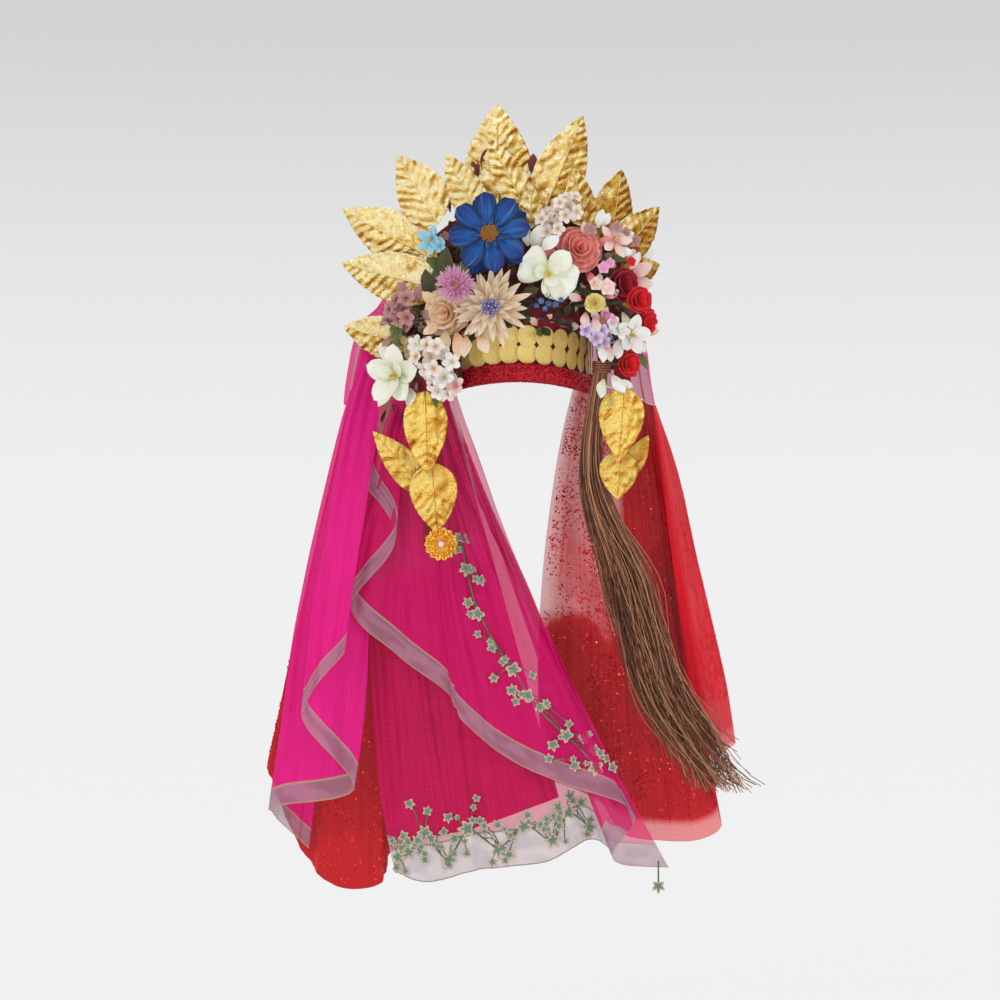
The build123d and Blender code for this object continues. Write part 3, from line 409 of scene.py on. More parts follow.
class Heap:
    """The points and faces of one piece, gathered part by part."""

    def __init__(self):
        self.points = []
        self.marks = []
        self.faces = []
        self.kinds = []

    def grid(self, point, columns, rows, kind=0, mark=None, wrap=False):
        """A surface of quads: point(i / columns, j / rows)."""
        start = len(self.points)
        across = columns if wrap else columns + 1
        for i in range(across):
            for j in range(rows + 1):
                u, v = i / columns, j / rows
                self.points.append(point(u, v))
                self.marks.append(mark(u, v) if mark else (2 * u - 1, v, 0))
        for i in range(columns):
            left = start + i * (rows + 1)
            right = start + (i + 1) % across * (rows + 1)
            for j in range(rows):
                self.faces.append((left + j, right + j, right + j + 1, left + j + 1))
                self.kinds.append(kind)

    def fan(self, rim, mark):
        """A small flat shape inside a rim of points."""
        start = len(self.points)
        self.points.extend(rim)
        self.marks.extend([mark] * len(rim))
        self.faces.append(tuple(range(start, start + len(rim))))
        self.kinds.append(0)

    def tube(self, path, radius, sides=5, kind=0, mark=PLAIN_MARK, taper=1.0):
        """A round stem through a path of points, closed at both ends."""
        start = len(self.points)
        last = len(path) - 1
        for index, centre in enumerate(path):
            ahead = (path[min(index + 1, last)] - path[max(index - 1, 0)]).normalized()
            side = ahead.cross(Vector((0.31, 0.17, 0.93))).normalized()
            other = ahead.cross(side)
            here = radius * (1 + (taper - 1) * index / last)
            for step in range(sides):
                turn = 2 * pi * step / sides
                self.points.append(centre + (side * cos(turn) + other * sin(turn)) * here)
                self.marks.append(mark)
        for index in range(last):
            low = start + index * sides
            for step in range(sides):
                after = (step + 1) % sides
                self.faces.append((low + step, low + after, low + sides + after, low + sides + step))
                self.kinds.append(kind)
        for ring in (start, start + last * sides):
            self.faces.append(tuple(range(ring, ring + sides)))
            self.kinds.append(kind)

    def stem(self, start, end, radius, sides=4, kind=0):
        """A straight wire between two points."""
        self.tube([start, (start + end) * 0.5, end], radius, sides, kind)

    def ball(self, centre, radius, kind=0, squash=1.0, axis=Vector((0, 0, 1))):
        """A small round thing, squashed along an axis."""
        turn = axis.to_track_quat("Z", "Y").to_matrix()

        def point(u, v):
            a, b = 2 * pi * u, pi * (v - 0.5)
            return centre + turn @ Vector((cos(a) * cos(b), sin(a) * cos(b), sin(b) * squash)) * radius

        self.grid(point, 10, 6, kind, lambda u, v: PLAIN_MARK, wrap=True)

    def mesh(self, name, materials):
        mesh = bpy.data.meshes.new(name)
        mesh.from_pydata([p * MM for p in self.points], [], self.faces)
        marks = mesh.attributes.new("mark", "FLOAT_VECTOR", "POINT")
        marks.data.foreach_set("vector", [value for mark in self.marks for value in mark])
        for one in materials:
            mesh.materials.append(one)
        mesh.polygons.foreach_set("material_index", self.kinds)
        mesh.polygons.foreach_set("use_smooth", [True] * len(self.faces))
        mesh.update()
        return mesh

    def make(self, name, materials, slot, replaces=(), thickness=0.0):
        made = add(name, self.mesh(name, materials))
        if thickness:
            solid = made.modifiers.new("thickness", "SOLIDIFY")
            solid.thickness = thickness * MM
            solid.offset = 0
        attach(made, "root")
        if replaces:
            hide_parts(*replaces)
        return made


def add(name, data):
    """A new object in the scene."""
    made = bpy.data.objects.new(name, data)
    bpy.context.scene.collection.objects.link(made)
    return made


def through(values, u):
    """A smooth curve through evenly spaced values, read at u from 0 to 1."""
    spans = len(values) - 1
    index = min(int(u * spans), spans - 1)
    t = u * spans - index
    before = values[max(index - 1, 0)]
    start = values[index]
    end = values[index + 1]
    after = values[min(index + 2, spans)]
    return (start * 2 + (end - before) * t + (before * 2 - start * 5 + end * 4 - after) * t ** 2
            + (start * 3 - before - end * 3 + after) * t ** 3) * 0.5


def noise_at(x, y, z):
    return noise.noise(Vector((x, y, z)))


def wobble(point, scale, seed=0.0):
    """Smooth noise from -1 to 1, with features of about the scale."""
    return noise.noise(point / scale + Vector((seed, seed * 1.7, seed * 0.6)))


# Where things sit

def rim_height(x, y):
    """Height of the rim line over a point of the cap."""
    arch = ARCH_RADIUS - sqrt(ARCH_RADIUS ** 2 - x ** 2)
    return FRONT_RIM - arch + RIM_RISE_TO_BACK * (y + CAP_HALF_DEPTH) / (2 * CAP_HALF_DEPTH)


def on_crest(bearing, standoff, height):
    """A point off the crest's front: bearing in degrees from the middle, positive to the right."""
    reach = CREST_FRONT + standoff
    return Vector((reach * sin(radians(bearing)), CREST_AXIS - reach * cos(radians(bearing)), height))


def seat_at(x, height, gap=CLEARANCE):
    """The point a gap off the crest's front at a place across."""
    reach = CREST_FRONT + gap
    return Vector((x, CREST_AXIS - sqrt(reach ** 2 - x ** 2), height))


def bearing_of(point):
    """Which way the crest's front faces behind a point, in degrees to the right."""
    return degrees(atan2(point.x, CREST_AXIS - point.y))


def ahead_at(bearing):
    """The level direction forwards at a bearing in degrees, positive to the right."""
    return Vector((sin(radians(bearing)), -cos(radians(bearing)), 0))


def facing(origin, turn, nod):
    """A flower's frame at a point: turned to the right and nodding up, in degrees, from straight ahead."""
    a = radians(turn)
    b = radians(nod)
    x = Vector((cos(a), sin(a), 0))
    z = Vector((sin(a) * cos(b), -cos(a) * cos(b), sin(b)))
    place = Matrix((x, z.cross(x), z)).transposed().to_4x4()
    place.translation = origin
    return place


# Gold leaves

# How a leaf's outline bulges near its foot and its tip, and where, in shares of its width and length
FOOT_BULGE = 0.85
FOOT_BULGE_AT = 0.15
TIP_BULGE = 0.48
TIP_BULGE_AT = 0.70
VEIN_SPACING = 10
VEIN_SLANT = 0.8
VEIN_HEIGHT = 0.8
TOOTH_SPACING = 3.4
TOOTH_REACH = 1.5
CRUMPLE_SIZE = 17
CRUMPLE_HEIGHT = 2.8
SMALL_CRUMPLES = [(7, 2.0, 3), (3.4, 0.9, 5)]
FOIL_THICKNESS = 0.35


def gold_leaf(name, foot, tip, width, seat, turn, gold, seed):
    """A crinkled foil leaf with a midrib, side veins and a toothed edge, on its stem."""
    chord = (tip - foot).normalized()
    length = (tip - foot).length
    ahead = ahead_at(turn)
    ahead = (ahead - chord * ahead.dot(chord)).normalized()
    half_bend = length / (2 * LEAF_BEND)
    along = chord * cos(half_bend) + ahead * sin(half_bend)
    face = ahead * cos(half_bend) - chord * sin(half_bend)
    side = along.cross(face)
    veins = max(5, round(length / VEIN_SPACING))
    teeth = round(length / TOOTH_SPACING)

    def half_at(t):
        return width * 3 * t * (1 - t) * ((1 - t) * FOOT_BULGE + t * TIP_BULGE)

    def down_at(t):
        return length * (3 * t * (1 - t) * ((1 - t) * FOOT_BULGE_AT + t * TIP_BULGE_AT) + t ** 3)

    def point(u, v):
        across = 2 * u - 1
        down = down_at(v)
        tooth = TOOTH_REACH * (abs(down / length * teeth % 1 - 0.5) - 0.25) * min(1, half_at(v) / 6)
        reach = across * (half_at(v) + tooth * abs(across) ** 4)
        flat = foot + along * down + side * reach
        rib = abs(reach)
        vein = abs(sin(pi * (down - rib * VEIN_SLANT) * veins / length))
        crumple = CRUMPLE_HEIGHT * wobble(flat, CRUMPLE_SIZE, seed)
        for size, height, shift in SMALL_CRUMPLES:
            crumple += height * wobble(flat, size, seed + shift)
        lift = VEIN_HEIGHT * vein * min(1, rib / 6) + crumple * min(1, 0.3 + rib / (0.35 * width))
        return flat + face * (lift - LEAF_FOLD * rib - down ** 2 / (2 * LEAF_BEND))

    def on_midrib(t):
        middle = foot + along * (length * t)
        lift = 0.5 - (length * t) ** 2 / (2 * LEAF_BEND)
        return middle + face * (lift + CRUMPLE_HEIGHT * 0.3 * wobble(middle, CRUMPLE_SIZE, seed))

    heap = Heap()
    heap.grid(point, 30, max(36, round(length / 2.0)), 0,
              lambda u, v: (2 * u - 1, down_at(v) / 100, (2 * u - 1) * half_at(v) / 10))
    root = foot + along * STEM_RADIUS * 2
    back = Vector((root.x, seat(root.x, root.z).y, root.z))
    heap.stem(back, root, STEM_RADIUS * 0.8, 6)
    heap.tube([on_midrib(t) for t in (0.0, 0.15, 0.3, 0.45, 0.6, 0.75, 0.9)], 0.9, 5, taper=0.3)
    return heap.make(name + "_foil", [gold], "gold_foil", [name], FOIL_THICKNESS)


# Crown leaves: foot and tip in shares of the crest's half width and height, width in shares of the half width
CROWN_LEAVES = [
    ("name", "foot_across", "foot_rise", "tip_across", "tip_rise", "width", "layer"),
    ("leaf_left_low", -0.86, 0.24, -1.37, 0.35, 0.33, 1),
    ("leaf_left_mid", -0.60, 0.53, -1.37, 0.69, 0.40, 2),
    ("leaf_left_high", -0.62, 0.69, -1.36, 0.99, 0.43, 1),
    ("leaf_left_top", -0.61, 0.89, -0.93, 1.27, 0.42, 2),
    ("leaf_mid_left", -0.27, 0.88, -0.55, 1.27, 0.28, 2),
    ("leaf_crown", -0.14, 0.89, -0.16, 1.53, 0.54, 1),
    ("leaf_crown_small", 0.07, 0.94, -0.22, 1.33, 0.25, 3.4),
    ("leaf_mid_right", 0.20, 0.94, 0.50, 1.47, 0.39, 2),
    ("leaf_right_small", 0.52, 0.86, 0.43, 1.18, 0.26, 3),
    ("leaf_right_top", 0.70, 0.76, 0.81, 1.20, 0.39, 1),
    ("leaf_right_high", 0.76, 0.70, 1.11, 1.00, 0.33, 2),
    ("leaf_right_mid", 0.80, 0.60, 1.12, 0.69, 0.26, 1),
    ("leaf_right_low", 0.80, 0.49, 1.05, 0.49, 0.16, 2),
    ("leaf_centre", 0.10, 0.84, 0.10, 1.08, 0.19, 4),
    ("leaf_left_drop", -0.80, 0.29, -0.83, 0.12, 0.20, 2),
]


def crown_leaves():
    for index, row in enumerate(CROWN_LEAVES[1:]):
        name, foot_across, foot_rise, tip_across, tip_rise, width, layer = row
        seat = seat_at(foot_across * CREST_HALF, foot_rise * CREST_HEIGHT)
        foot = seat - Vector((0, layer * LEAF_STEP, 0))
        reach = (tip_across - foot_across) * CREST_HALF
        outward = max(reach if foot_across > 0 else -reach, 0)
        tip = Vector((tip_across * CREST_HALF, foot.y + LEAF_SWEEP * outward, tip_rise * CREST_HEIGHT))
        turn = LEAF_TURN * bearing_of(seat)
        gold_leaf(name, foot, tip, width * CREST_HALF, seat_at, turn, GOLD, index * 2.3)


def ribbon_back(middle_x):
    """How far back a flat ribbon hangs before its inner edge would meet the crest."""
    inner = abs(middle_x) - RIBBON_WIDTH / 2
    return CREST_AXIS - sqrt((CREST_FRONT + CLEARANCE) ** 2 - inner ** 2)


def ribbon_front(middle_x, top, drop, height):
    """The point just off the middle of a ribbon's front at a height."""
    run = max(top - RIBBON_TUCK - height, 0) / (top - RIBBON_TUCK + drop)
    y = ribbon_back(middle_x) - RIBBON_THICKNESS - RIBBON_LEAN * run - CLEARANCE
    return Vector((middle_x, y, height))


# Pendant leaves: foot and tip across from the ribbon and down from the head seat, and width, in shares of
# the left pendant's drop
PENDANT_LEAVES = [
    ("name", "foot_across", "foot_drop", "tip_across", "tip_drop", "width", "layer"),
    ("pendant_left_side", -0.02, 0.66, -0.36, 0.28, 0.20, 1),
    ("pendant_left_upper", -0.04, 0.03, -0.02, 0.54, 0.27, 3),
    ("pendant_left_lower", 0.00, 0.47, 0.04, 0.91, 0.29, 2),
    ("pendant_right_upper", 0.00, 0.00, -0.03, 0.46, 0.28, 3),
    ("pendant_right_side", 0.02, 0.55, 0.16, 0.30, 0.13, 1),
    ("pendant_right_lower", -0.02, 0.40, -0.04, 0.70, 0.24, 2),
]


def pendants():
    for index, row in enumerate(PENDANT_LEAVES[1:]):
        name, foot_across, foot_drop, tip_across, tip_drop, width, layer = row
        if "left" in name:
            middle_x, top, drop = -RIBBON_LEFT_X, RIBBON_LEFT_TOP, PENDANT_LEFT_DROP
        else:
            middle_x, top, drop = RIBBON_RIGHT_X, RIBBON_RIGHT_TOP, PENDANT_RIGHT_DROP

        def carrier(x, height):
            return ribbon_front(middle_x, top, drop, height)

        forward = Vector((0, -layer * LEAF_STEP, 0))
        foot = carrier(0, -foot_drop * PENDANT_LEFT_DROP) + forward
        foot.x += foot_across * PENDANT_LEFT_DROP
        tip = carrier(0, -tip_drop * PENDANT_LEFT_DROP) + forward
        tip.x += tip_across * PENDANT_LEFT_DROP
        gold_leaf(name, foot, tip, width * PENDANT_LEFT_DROP, carrier, 0, PENDANT_GOLD, 40 + index * 3.1)
    rosette()


# The rosette's rings: reach in shares of its radius, height in millimetres and number of ruffles
ROSETTE_RINGS = [(1.0, 1.0, 14), (0.74, 3.2, 12), (0.5, 5.0, 9)]
CRYSTAL_RADIUS = 3.4
CRYSTAL_STANDOFF = 7.5
ROSETTE_BEADS = 10
BEAD_RADIUS = 1.1
BEAD_RING = 4.6
BEAD_STANDOFF = 6.2


def rosette():
    """The ruffled foil rosette with its pink crystal, on the left pendant's end."""
    end = STEM_RADIUS * 3 - PENDANT_LEFT_DROP
    seat = ribbon_front(-RIBBON_LEFT_X, RIBBON_LEFT_TOP, PENDANT_LEFT_DROP, end)
    middle = seat + Vector((ROSETTE_SHIFT, -ROSETTE_STANDOFF, 0))
    place = facing(middle, 0, 0)
    heap = Heap()
    for ring, (reach, height, ruffles) in enumerate(ROSETTE_RINGS):
        def point(u, v):
            a = 2 * pi * u + ring
            r = ROSETTE_RADIUS * reach * (0.18 + 0.82 * v) * (1 + 0.07 * cos(ruffles * a) * v)
            z = height + 2.6 * v * v + 2.2 * sin(ruffles * a) * v
            z += 0.8 * wobble(polar(r, a, ring * 9), 3)
            return place @ polar(r, a, z)

        heap.grid(point, 84, 7, wrap=True)
    heap.ball(middle + Vector((0, -CRYSTAL_STANDOFF, 0)), CRYSTAL_RADIUS, 1)
    for step in range(ROSETTE_BEADS):
        heap.ball(place @ polar(BEAD_RING, 2 * pi * step / ROSETTE_BEADS, BEAD_STANDOFF), BEAD_RADIUS)
    heap.stem(seat, middle, STEM_RADIUS, 6)
    heap.make("rosette_foil", [ROSETTE_GOLD, CRYSTAL], "rosette_gold", ["rosette"], 0.3)


# Flowers

# Which of a flower's looks a face takes
PETAL = 0
HEART = 1
STALK = 2
PETAL_THICKNESS = 0.3

# Rings of petals: how many, their reach and half width, the rise of the tips, cup, where the widest place
# is, how blunt they are, lift of the foot, waves and turn. Lengths are shares of the flower's reach
RINGS = [
    ("kind", "petals", "reach", "half_width", "rise", "cup", "widest", "blunt", "lift", "wave", "turn"),
    ("daisy", 5, 0.97, 0.25, 0.00, 0.30, 2.0, 0.40, -0.05, 0.05, 0.55),
    ("daisy", 8, 0.96, 0.25, 0.16, 0.90, 2.0, 0.40, 0.03, 0.05, 0.15),
    ("daisy", 10, 0.40, 0.07, 0.22, 0.60, 1.1, 0.90, 0.06, 0.02, 0.2),
    ("star", 5, 1.00, 0.26, 0.16, -0.35, 1.2, 0.90, 0.00, 0.03, 0.0),
    ("floret", 5, 1.00, 0.38, 0.20, 0.50, 1.3, 0.62, 0.00, 0.12, 0.0),
    ("rose", 5, 1.00, 0.58, 0.12, 0.35, 1.6, 0.42, 0.00, 0.16, 0.0),
    ("rose", 5, 0.86, 0.50, 0.32, 0.60, 1.6, 0.42, 0.06, 0.14, 0.6),
    ("rose", 4, 0.62, 0.42, 0.46, 0.90, 1.5, 0.42, 0.12, 0.10, 0.2),
    ("rose", 4, 0.40, 0.28, 0.52, 1.20, 1.4, 0.45, 0.18, 0.06, 0.9),
    ("rose", 3, 0.20, 0.18, 0.50, 1.40, 1.4, 0.45, 0.26, 0.03, 0.1),
    ("bud", 4, 0.98, 0.66, 0.50, 0.95, 1.3, 0.40, 0.00, 0.04, 0.0),
    ("bud", 3, 0.74, 0.60, 0.66, 1.15, 1.2, 0.40, 0.06, 0.04, 0.7),
    ("bud", 2, 0.42, 0.44, 0.72, 1.30, 1.1, 0.42, 0.12, 0.03, 0.3),
    ("dahlia", 19, 1.00, 0.095, 0.02, 1.30, 1.1, 0.75, 0.00, 0.10, 0.0),
    ("dahlia", 15, 0.86, 0.095, 0.16, 1.40, 1.1, 0.75, 0.04, 0.10, 0.2),
    ("dahlia", 12, 0.62, 0.085, 0.32, 1.40, 1.1, 0.75, 0.07, 0.08, 0.1),
    ("dahlia", 7, 0.38, 0.070, 0.40, 1.40, 1.1, 0.75, 0.09, 0.06, 0.5),
    ("pompom", 26, 1.00, 0.055, 0.14, 0.60, 1.5, 0.60, 0.02, 0.20, 0.0),
    ("pompom", 26, 0.96, 0.055, 0.40, 0.60, 1.5, 0.60, 0.08, 0.20, 0.1),
    ("pompom", 24, 0.82, 0.055, 0.62, 0.60, 1.5, 0.60, 0.14, 0.20, 0.3),
    ("pompom", 18, 0.58, 0.055, 0.78, 0.60, 1.5, 0.60, 0.20, 0.20, 0.2),
    ("pompom", 10, 0.30, 0.055, 0.84, 0.60, 1.5, 0.60, 0.26, 0.15, 0.0),
    ("orchid", 3, 0.90, 0.34, 0.06, 0.40, 1.2, 0.60, 0.00, 0.14, 0.75),
    ("orchid", 2, 1.02, 0.60, 0.24, -0.20, 1.6, 0.40, 0.06, 0.24, -0.50),
    ("orchid", 3, 0.44, 0.22, 0.34, 0.80, 1.3, 0.50, 0.06, 0.08, 0.8),
    ("lily", 5, 1.05, 0.38, 0.34, 0.45, 1.0, 0.62, 0.00, 0.12, 0.2),
    ("lily", 3, 0.60, 0.22, 0.44, 0.80, 1.1, 0.60, 0.05, 0.08, 0.7),
    ("foliage", 5, 1.10, 0.30, 0.20, -0.30, 0.9, 0.80, 0.00, 0.06, 0.1),
    ("foliage", 4, 0.80, 0.24, 0.40, -0.30, 0.9, 0.80, 0.05, 0.06, 0.8),
]
# How unlike each other the petals of a kind are
LOOSE = {"daisy": 0.35, "dahlia": 1.6, "rose": 1.5, "bud": 1.0, "pompom": 1.4, "orchid": 1.2, "lily": 1.2}


def bloom(heap, place, kind, reach, seed):
    """One flower's petals and heart, in its frame."""
    draw = Random(seed)
    loose = LOOSE.get(kind, 1.0)
    rings = [row[1:] for row in RINGS[1:] if row[0] == kind]
    for count, out, half_width, rise, cup, widest, blunt, lift, wave, turn in rings:
        for index in range(count):
            angle = 2 * pi * index / count + turn + draw.uniform(-0.07, 0.07) * loose
            longer = 1 + draw.uniform(-0.08, 0.05) * loose
            tilt = draw.uniform(-0.08, 0.08) * loose
            shade = draw.random()
            phase = draw.uniform(0, 2 * pi)
            spin = Matrix.Rotation(angle, 4, "Z")

            def point(u, v):
                t = 2 * u - 1
                half = half_width * max(sin(pi * (0.03 + 0.97 * v) ** widest), 0) ** blunt
                r = out * longer * v
                z = lift + (rise + tilt) * v ** 1.6 + cup * half * t * t * 0.6
                z += wave * half * sin(phase + 5 * t + 3 * v) * v + 0.05 * half * abs(t)
                return place @ spin @ (Vector((r, half * t, z)) * reach)

            heap.grid(point, 8, 8, PETAL, lambda u, v: (2 * u - 1, v, shade))
    heart(heap, place, kind, reach, draw)


# Heart of each kind: radius and height in shares of the reach, and how many seeds or stamens stand on it
HEARTS = {
    "daisy": (0.20, 0.14, 60), "star": (0.08, 0.10, 5), "floret": (0.08, 0.12, 4), "bud": (0.05, 0.20, 0),
    "rose": (0.05, 0.30, 0), "dahlia": (0.10, 0.20, 26), "pompom": (0.20, 0.60, 0), "orchid": (0.07, 0.16, 3),
    "lily": (0.07, 0.14, 6), "foliage": (0.05, 0.10, 0),
}
# Each next seed is this far round, which spreads them evenly
SEED_TURN = 2.4


def heart(heap, place, kind, reach, draw):
    radius, height, seeds = HEARTS[kind]
    axis = (place.to_3x3() @ Vector((0, 0, 1))).normalized()
    heap.ball(place @ Vector((0, 0, height * 0.5 * reach)), radius * reach, HEART, 0.6, axis)
    for index in range(seeds):
        spread = radius * sqrt((index + 0.5) / seeds)
        a = index * SEED_TURN
        foot = polar(spread, a, height * 0.5) * reach
        if kind == "daisy":
            heap.ball(place @ (foot + Vector((0, 0, radius * 0.5 * reach))), 0.028 * reach, HEART)
            continue
        lean = 2.4 if kind == "dahlia" else 1.6
        top = polar(spread * lean, a, height + draw.uniform(0.05, 0.22)) * reach
        heap.tube([place @ foot, place @ ((foot + top) * 0.5), place @ top], 0.018 * reach, 4, HEART)
        heap.ball(place @ top, 0.035 * reach, HEART)


# Colours of petals: at the foot, in the middle, at the tip and in the streaks, how strong the streaks are,
# and at the sides
PETAL_COLOURS = {
    "blue": ((0.08, 0.34, 0.60), (0.012, 0.11, 0.42), (0.006, 0.022, 0.17), (0.08, 0.36, 0.66), 0.8,
             (0.004, 0.007, 0.06)),
    "sky": ((0.16, 0.42, 0.60), (0.28, 0.60, 0.78), (0.42, 0.72, 0.85), (0.10, 0.30, 0.55)),
    "pink": ((0.70, 0.08, 0.25), (0.80, 0.26, 0.48), (0.84, 0.50, 0.68), (0.62, 0.42, 0.66)),
    "peach": ((0.62, 0.24, 0.10), (0.86, 0.55, 0.32), (0.90, 0.72, 0.52), (0.70, 0.38, 0.18)),
    "cream": ((0.62, 0.34, 0.14), (0.84, 0.62, 0.40), (0.92, 0.80, 0.64), (0.60, 0.34, 0.17), 0.6),
    "ivory": ((0.62, 0.66, 0.30), (0.86, 0.87, 0.72), (0.92, 0.93, 0.86), (0.74, 0.76, 0.55), 0.3),
    "coral": ((0.56, 0.05, 0.05), (0.80, 0.17, 0.15), (0.88, 0.32, 0.27), (0.92, 0.50, 0.42)),
    "dark_red": ((0.10, 0.003, 0.008), (0.30, 0.005, 0.015), (0.42, 0.01, 0.025), (0.55, 0.03, 0.05)),
    "red": ((0.34, 0.004, 0.008), (0.72, 0.010, 0.018), (0.82, 0.02, 0.03), (0.50, 0.01, 0.02)),
    "blush": ((0.62, 0.16, 0.22), (0.86, 0.56, 0.52), (0.92, 0.80, 0.74), (0.70, 0.28, 0.32)),
    "mauve": ((0.30, 0.10, 0.12), (0.42, 0.20, 0.20), (0.56, 0.30, 0.28), (0.70, 0.42, 0.38)),
    "yellow": ((0.62, 0.36, 0.04), (0.88, 0.66, 0.14), (0.92, 0.80, 0.36), (0.80, 0.50, 0.10)),
    "lilac": ((0.36, 0.20, 0.50), (0.60, 0.46, 0.72), (0.78, 0.68, 0.84), (0.42, 0.28, 0.60)),
    "white": ((0.72, 0.66, 0.52), (0.90, 0.88, 0.84), (0.93, 0.92, 0.90), (0.86, 0.76, 0.72), 0.3),
    "shell": ((0.66, 0.44, 0.34), (0.86, 0.74, 0.64), (0.90, 0.84, 0.78), (0.74, 0.50, 0.46), 0.5),
    "green": ((0.05, 0.07, 0.02), (0.09, 0.12, 0.03), (0.14, 0.17, 0.04), (0.22, 0.24, 0.08)),
}
LEAF_COLOURS = {
    "olive": ((0.035, 0.030, 0.010), (0.050, 0.050, 0.014), (0.070, 0.070, 0.020), (0.14, 0.13, 0.05)),
    "moss": ((0.06, 0.09, 0.02), (0.10, 0.15, 0.04), (0.16, 0.20, 0.07), (0.24, 0.26, 0.12)),
    "wine": ((0.05, 0.004, 0.008), (0.11, 0.010, 0.014), (0.20, 0.035, 0.030), (0.30, 0.08, 0.05)),
}
PETALS = {name: petals("petal_" + name, *colours) for name, colours in PETAL_COLOURS.items()}
LEAVES = {name: petals("leaf_" + name, *colours) for name, colours in LEAF_COLOURS.items()}


# Flowers: bearing round the crest in degrees, level in shares of its height, stand-off and reach in
# shares of the largest flower's reach, turn and nod of its face in degrees, then its looks
FLOWERS = [
    ("name", "kind", "bearing", "level", "stand_off", "reach", "turn", "nod", "petals", "heart", "slot"),
    ("blue_daisy", "daisy", -8.3, 0.80, 1.13, 1.00, -4, 8, "blue", "brown", "petal_blue"),
    ("sky_flower", "star", -30.9, 0.79, 0.65, 0.38, -20, 10, "sky", "yellow", "petal_sky"),
    ("pink_pompom", "pompom", -17.4, 0.53, 1.40, 0.46, -10, 0, "pink", "yellow", "petal_pink"),
    ("peach_rose", "rose", -24.6, 0.40, 0.50, 0.60, -22, -5, "peach", "brown", "petal_peach"),
    ("cream_dahlia", "dahlia", -8.2, 0.42, 0.90, 0.92, -5, -8, "cream", "violet", "petal_cream"),
    ("ivory_orchid", "orchid", 9.4, 0.60, 0.86, 0.76, 8, -5, "ivory", "yellow", "petal_ivory"),
    ("coral_rose", "rose", 20.6, 0.73, 0.60, 0.56, 14, 10, "coral", "brown", "petal_coral"),
    ("dark_red_rose", "bud", 34.5, 0.55, 0.80, 0.42, 28, 0, "dark_red", "brown", "petal_dark_red"),
    ("red_blossom_upper", "bud", 37.4, 0.46, 1.20, 0.32, 20, 0, "red", "brown", "petal_red"),
    ("red_blossom_side", "bud", 46.4, 0.36, 0.68, 0.34, 40, -5, "red", "brown", "petal_red"),
    ("blush_blossom", "star", 32.6, 0.79, 0.87, 0.46, 30, 15, "blush", "yellow", "petal_blush"),
    ("yellow_rosebud", "rose", 23.6, 0.44, 1.09, 0.25, 12, 0, "yellow", "yellow", "petal_yellow"),
    ("blush_star", "star", 28.3, 0.35, 0.80, 0.36, 18, 0, "blush", "yellow", "petal_blush"),
    ("lilac_cluster", "cluster", 33.2, 0.27, 0.35, 0.36, 25, -5, "lilac", "violet", "petal_lilac"),
    ("white_blossom_right", "lily", 38.6, 0.28, 0.88, 0.46, 35, -5, "white", "yellow", "petal_white"),
    ("tulle_stars", "cluster", 15.4, 0.94, 0.98, 0.40, 10, 20, "shell", "yellow", "petal_white"),
    ("white_stars_top", "cluster", 10.6, 0.86, 0.76, 0.40, 5, 15, "shell", "yellow", "petal_white"),
    ("white_lily", "lily", -41.2, 0.06, 0.98, 0.70, -28, -5, "ivory", "yellow", "petal_white"),
    ("white_star_cluster", "cluster", -27.3, 0.15, 0.91, 0.50, -20, 0, "shell", "yellow", "petal_white"),
    ("cream_star_cluster", "cluster", -25.4, 0.01, 0.54, 0.42, -15, -5, "shell", "brown", "petal_cream"),
    ("mauve_hydrangea", "cluster", -37.8, 0.42, 0.86, 0.48, -30, 0, "mauve", "brown", "petal_mauve"),
    ("green_leaves", "foliage", -28.4, 0.64, 0.33, 0.44, -20, 5, "green", "brown", "leaf_green"),
    ("red_blossom_low", "bud", 40.5, 0.13, 0.56, 0.32, 30, -5, "red", "brown", "petal_red"),
]
FLORETS = 6


def flowers():
    for index, row in enumerate(FLOWERS[1:]):
        name, kind, bearing, level, stand_off, reach, turn, nod, petal_look, heart_look, slot = row
        foot = on_crest(bearing, CLEARANCE, level * CREST_HEIGHT)
        middle = on_crest(bearing, stand_off * BLOOM, level * CREST_HEIGHT)
        place = facing(middle, turn, nod)
        heap = Heap()
        if kind == "cluster":
            cluster(heap, place, reach * BLOOM, index)
        else:
            bloom(heap, place, kind, reach * BLOOM, index)
        heap.stem(foot, middle, STEM_RADIUS, 6, STALK)
        looks = [PETALS[petal_look], HEART_LOOKS[heart_look], STEM_GREEN]
        heap.make(name + "_petals", looks, slot, [name], PETAL_THICKNESS)


def cluster(heap, place, reach, seed):
    """Small star florets on short stalks."""
    draw = Random(seed + 100)
    for index in range(FLORETS):
        around = 2 * pi * index / FLORETS + draw.uniform(-0.2, 0.2)
        lean = 0.58 * reach * (index > 0)
        rise = reach * (0.35 + 0.35 * (index % 2))
        stalk = polar(lean, around, rise)
        tilt = Matrix.Rotation(0.5 * (index > 0), 4, Vector((-sin(around), cos(around), 0)))
        bloom(heap, place @ (Matrix.Translation(stalk) @ tilt), "floret", 0.46 * reach, seed * 31 + index)
        heap.tube([place @ Vector((0, 0, 0)), place @ (stalk * 0.5), place @ stalk], 0.6, 4, STALK)


# Cloth

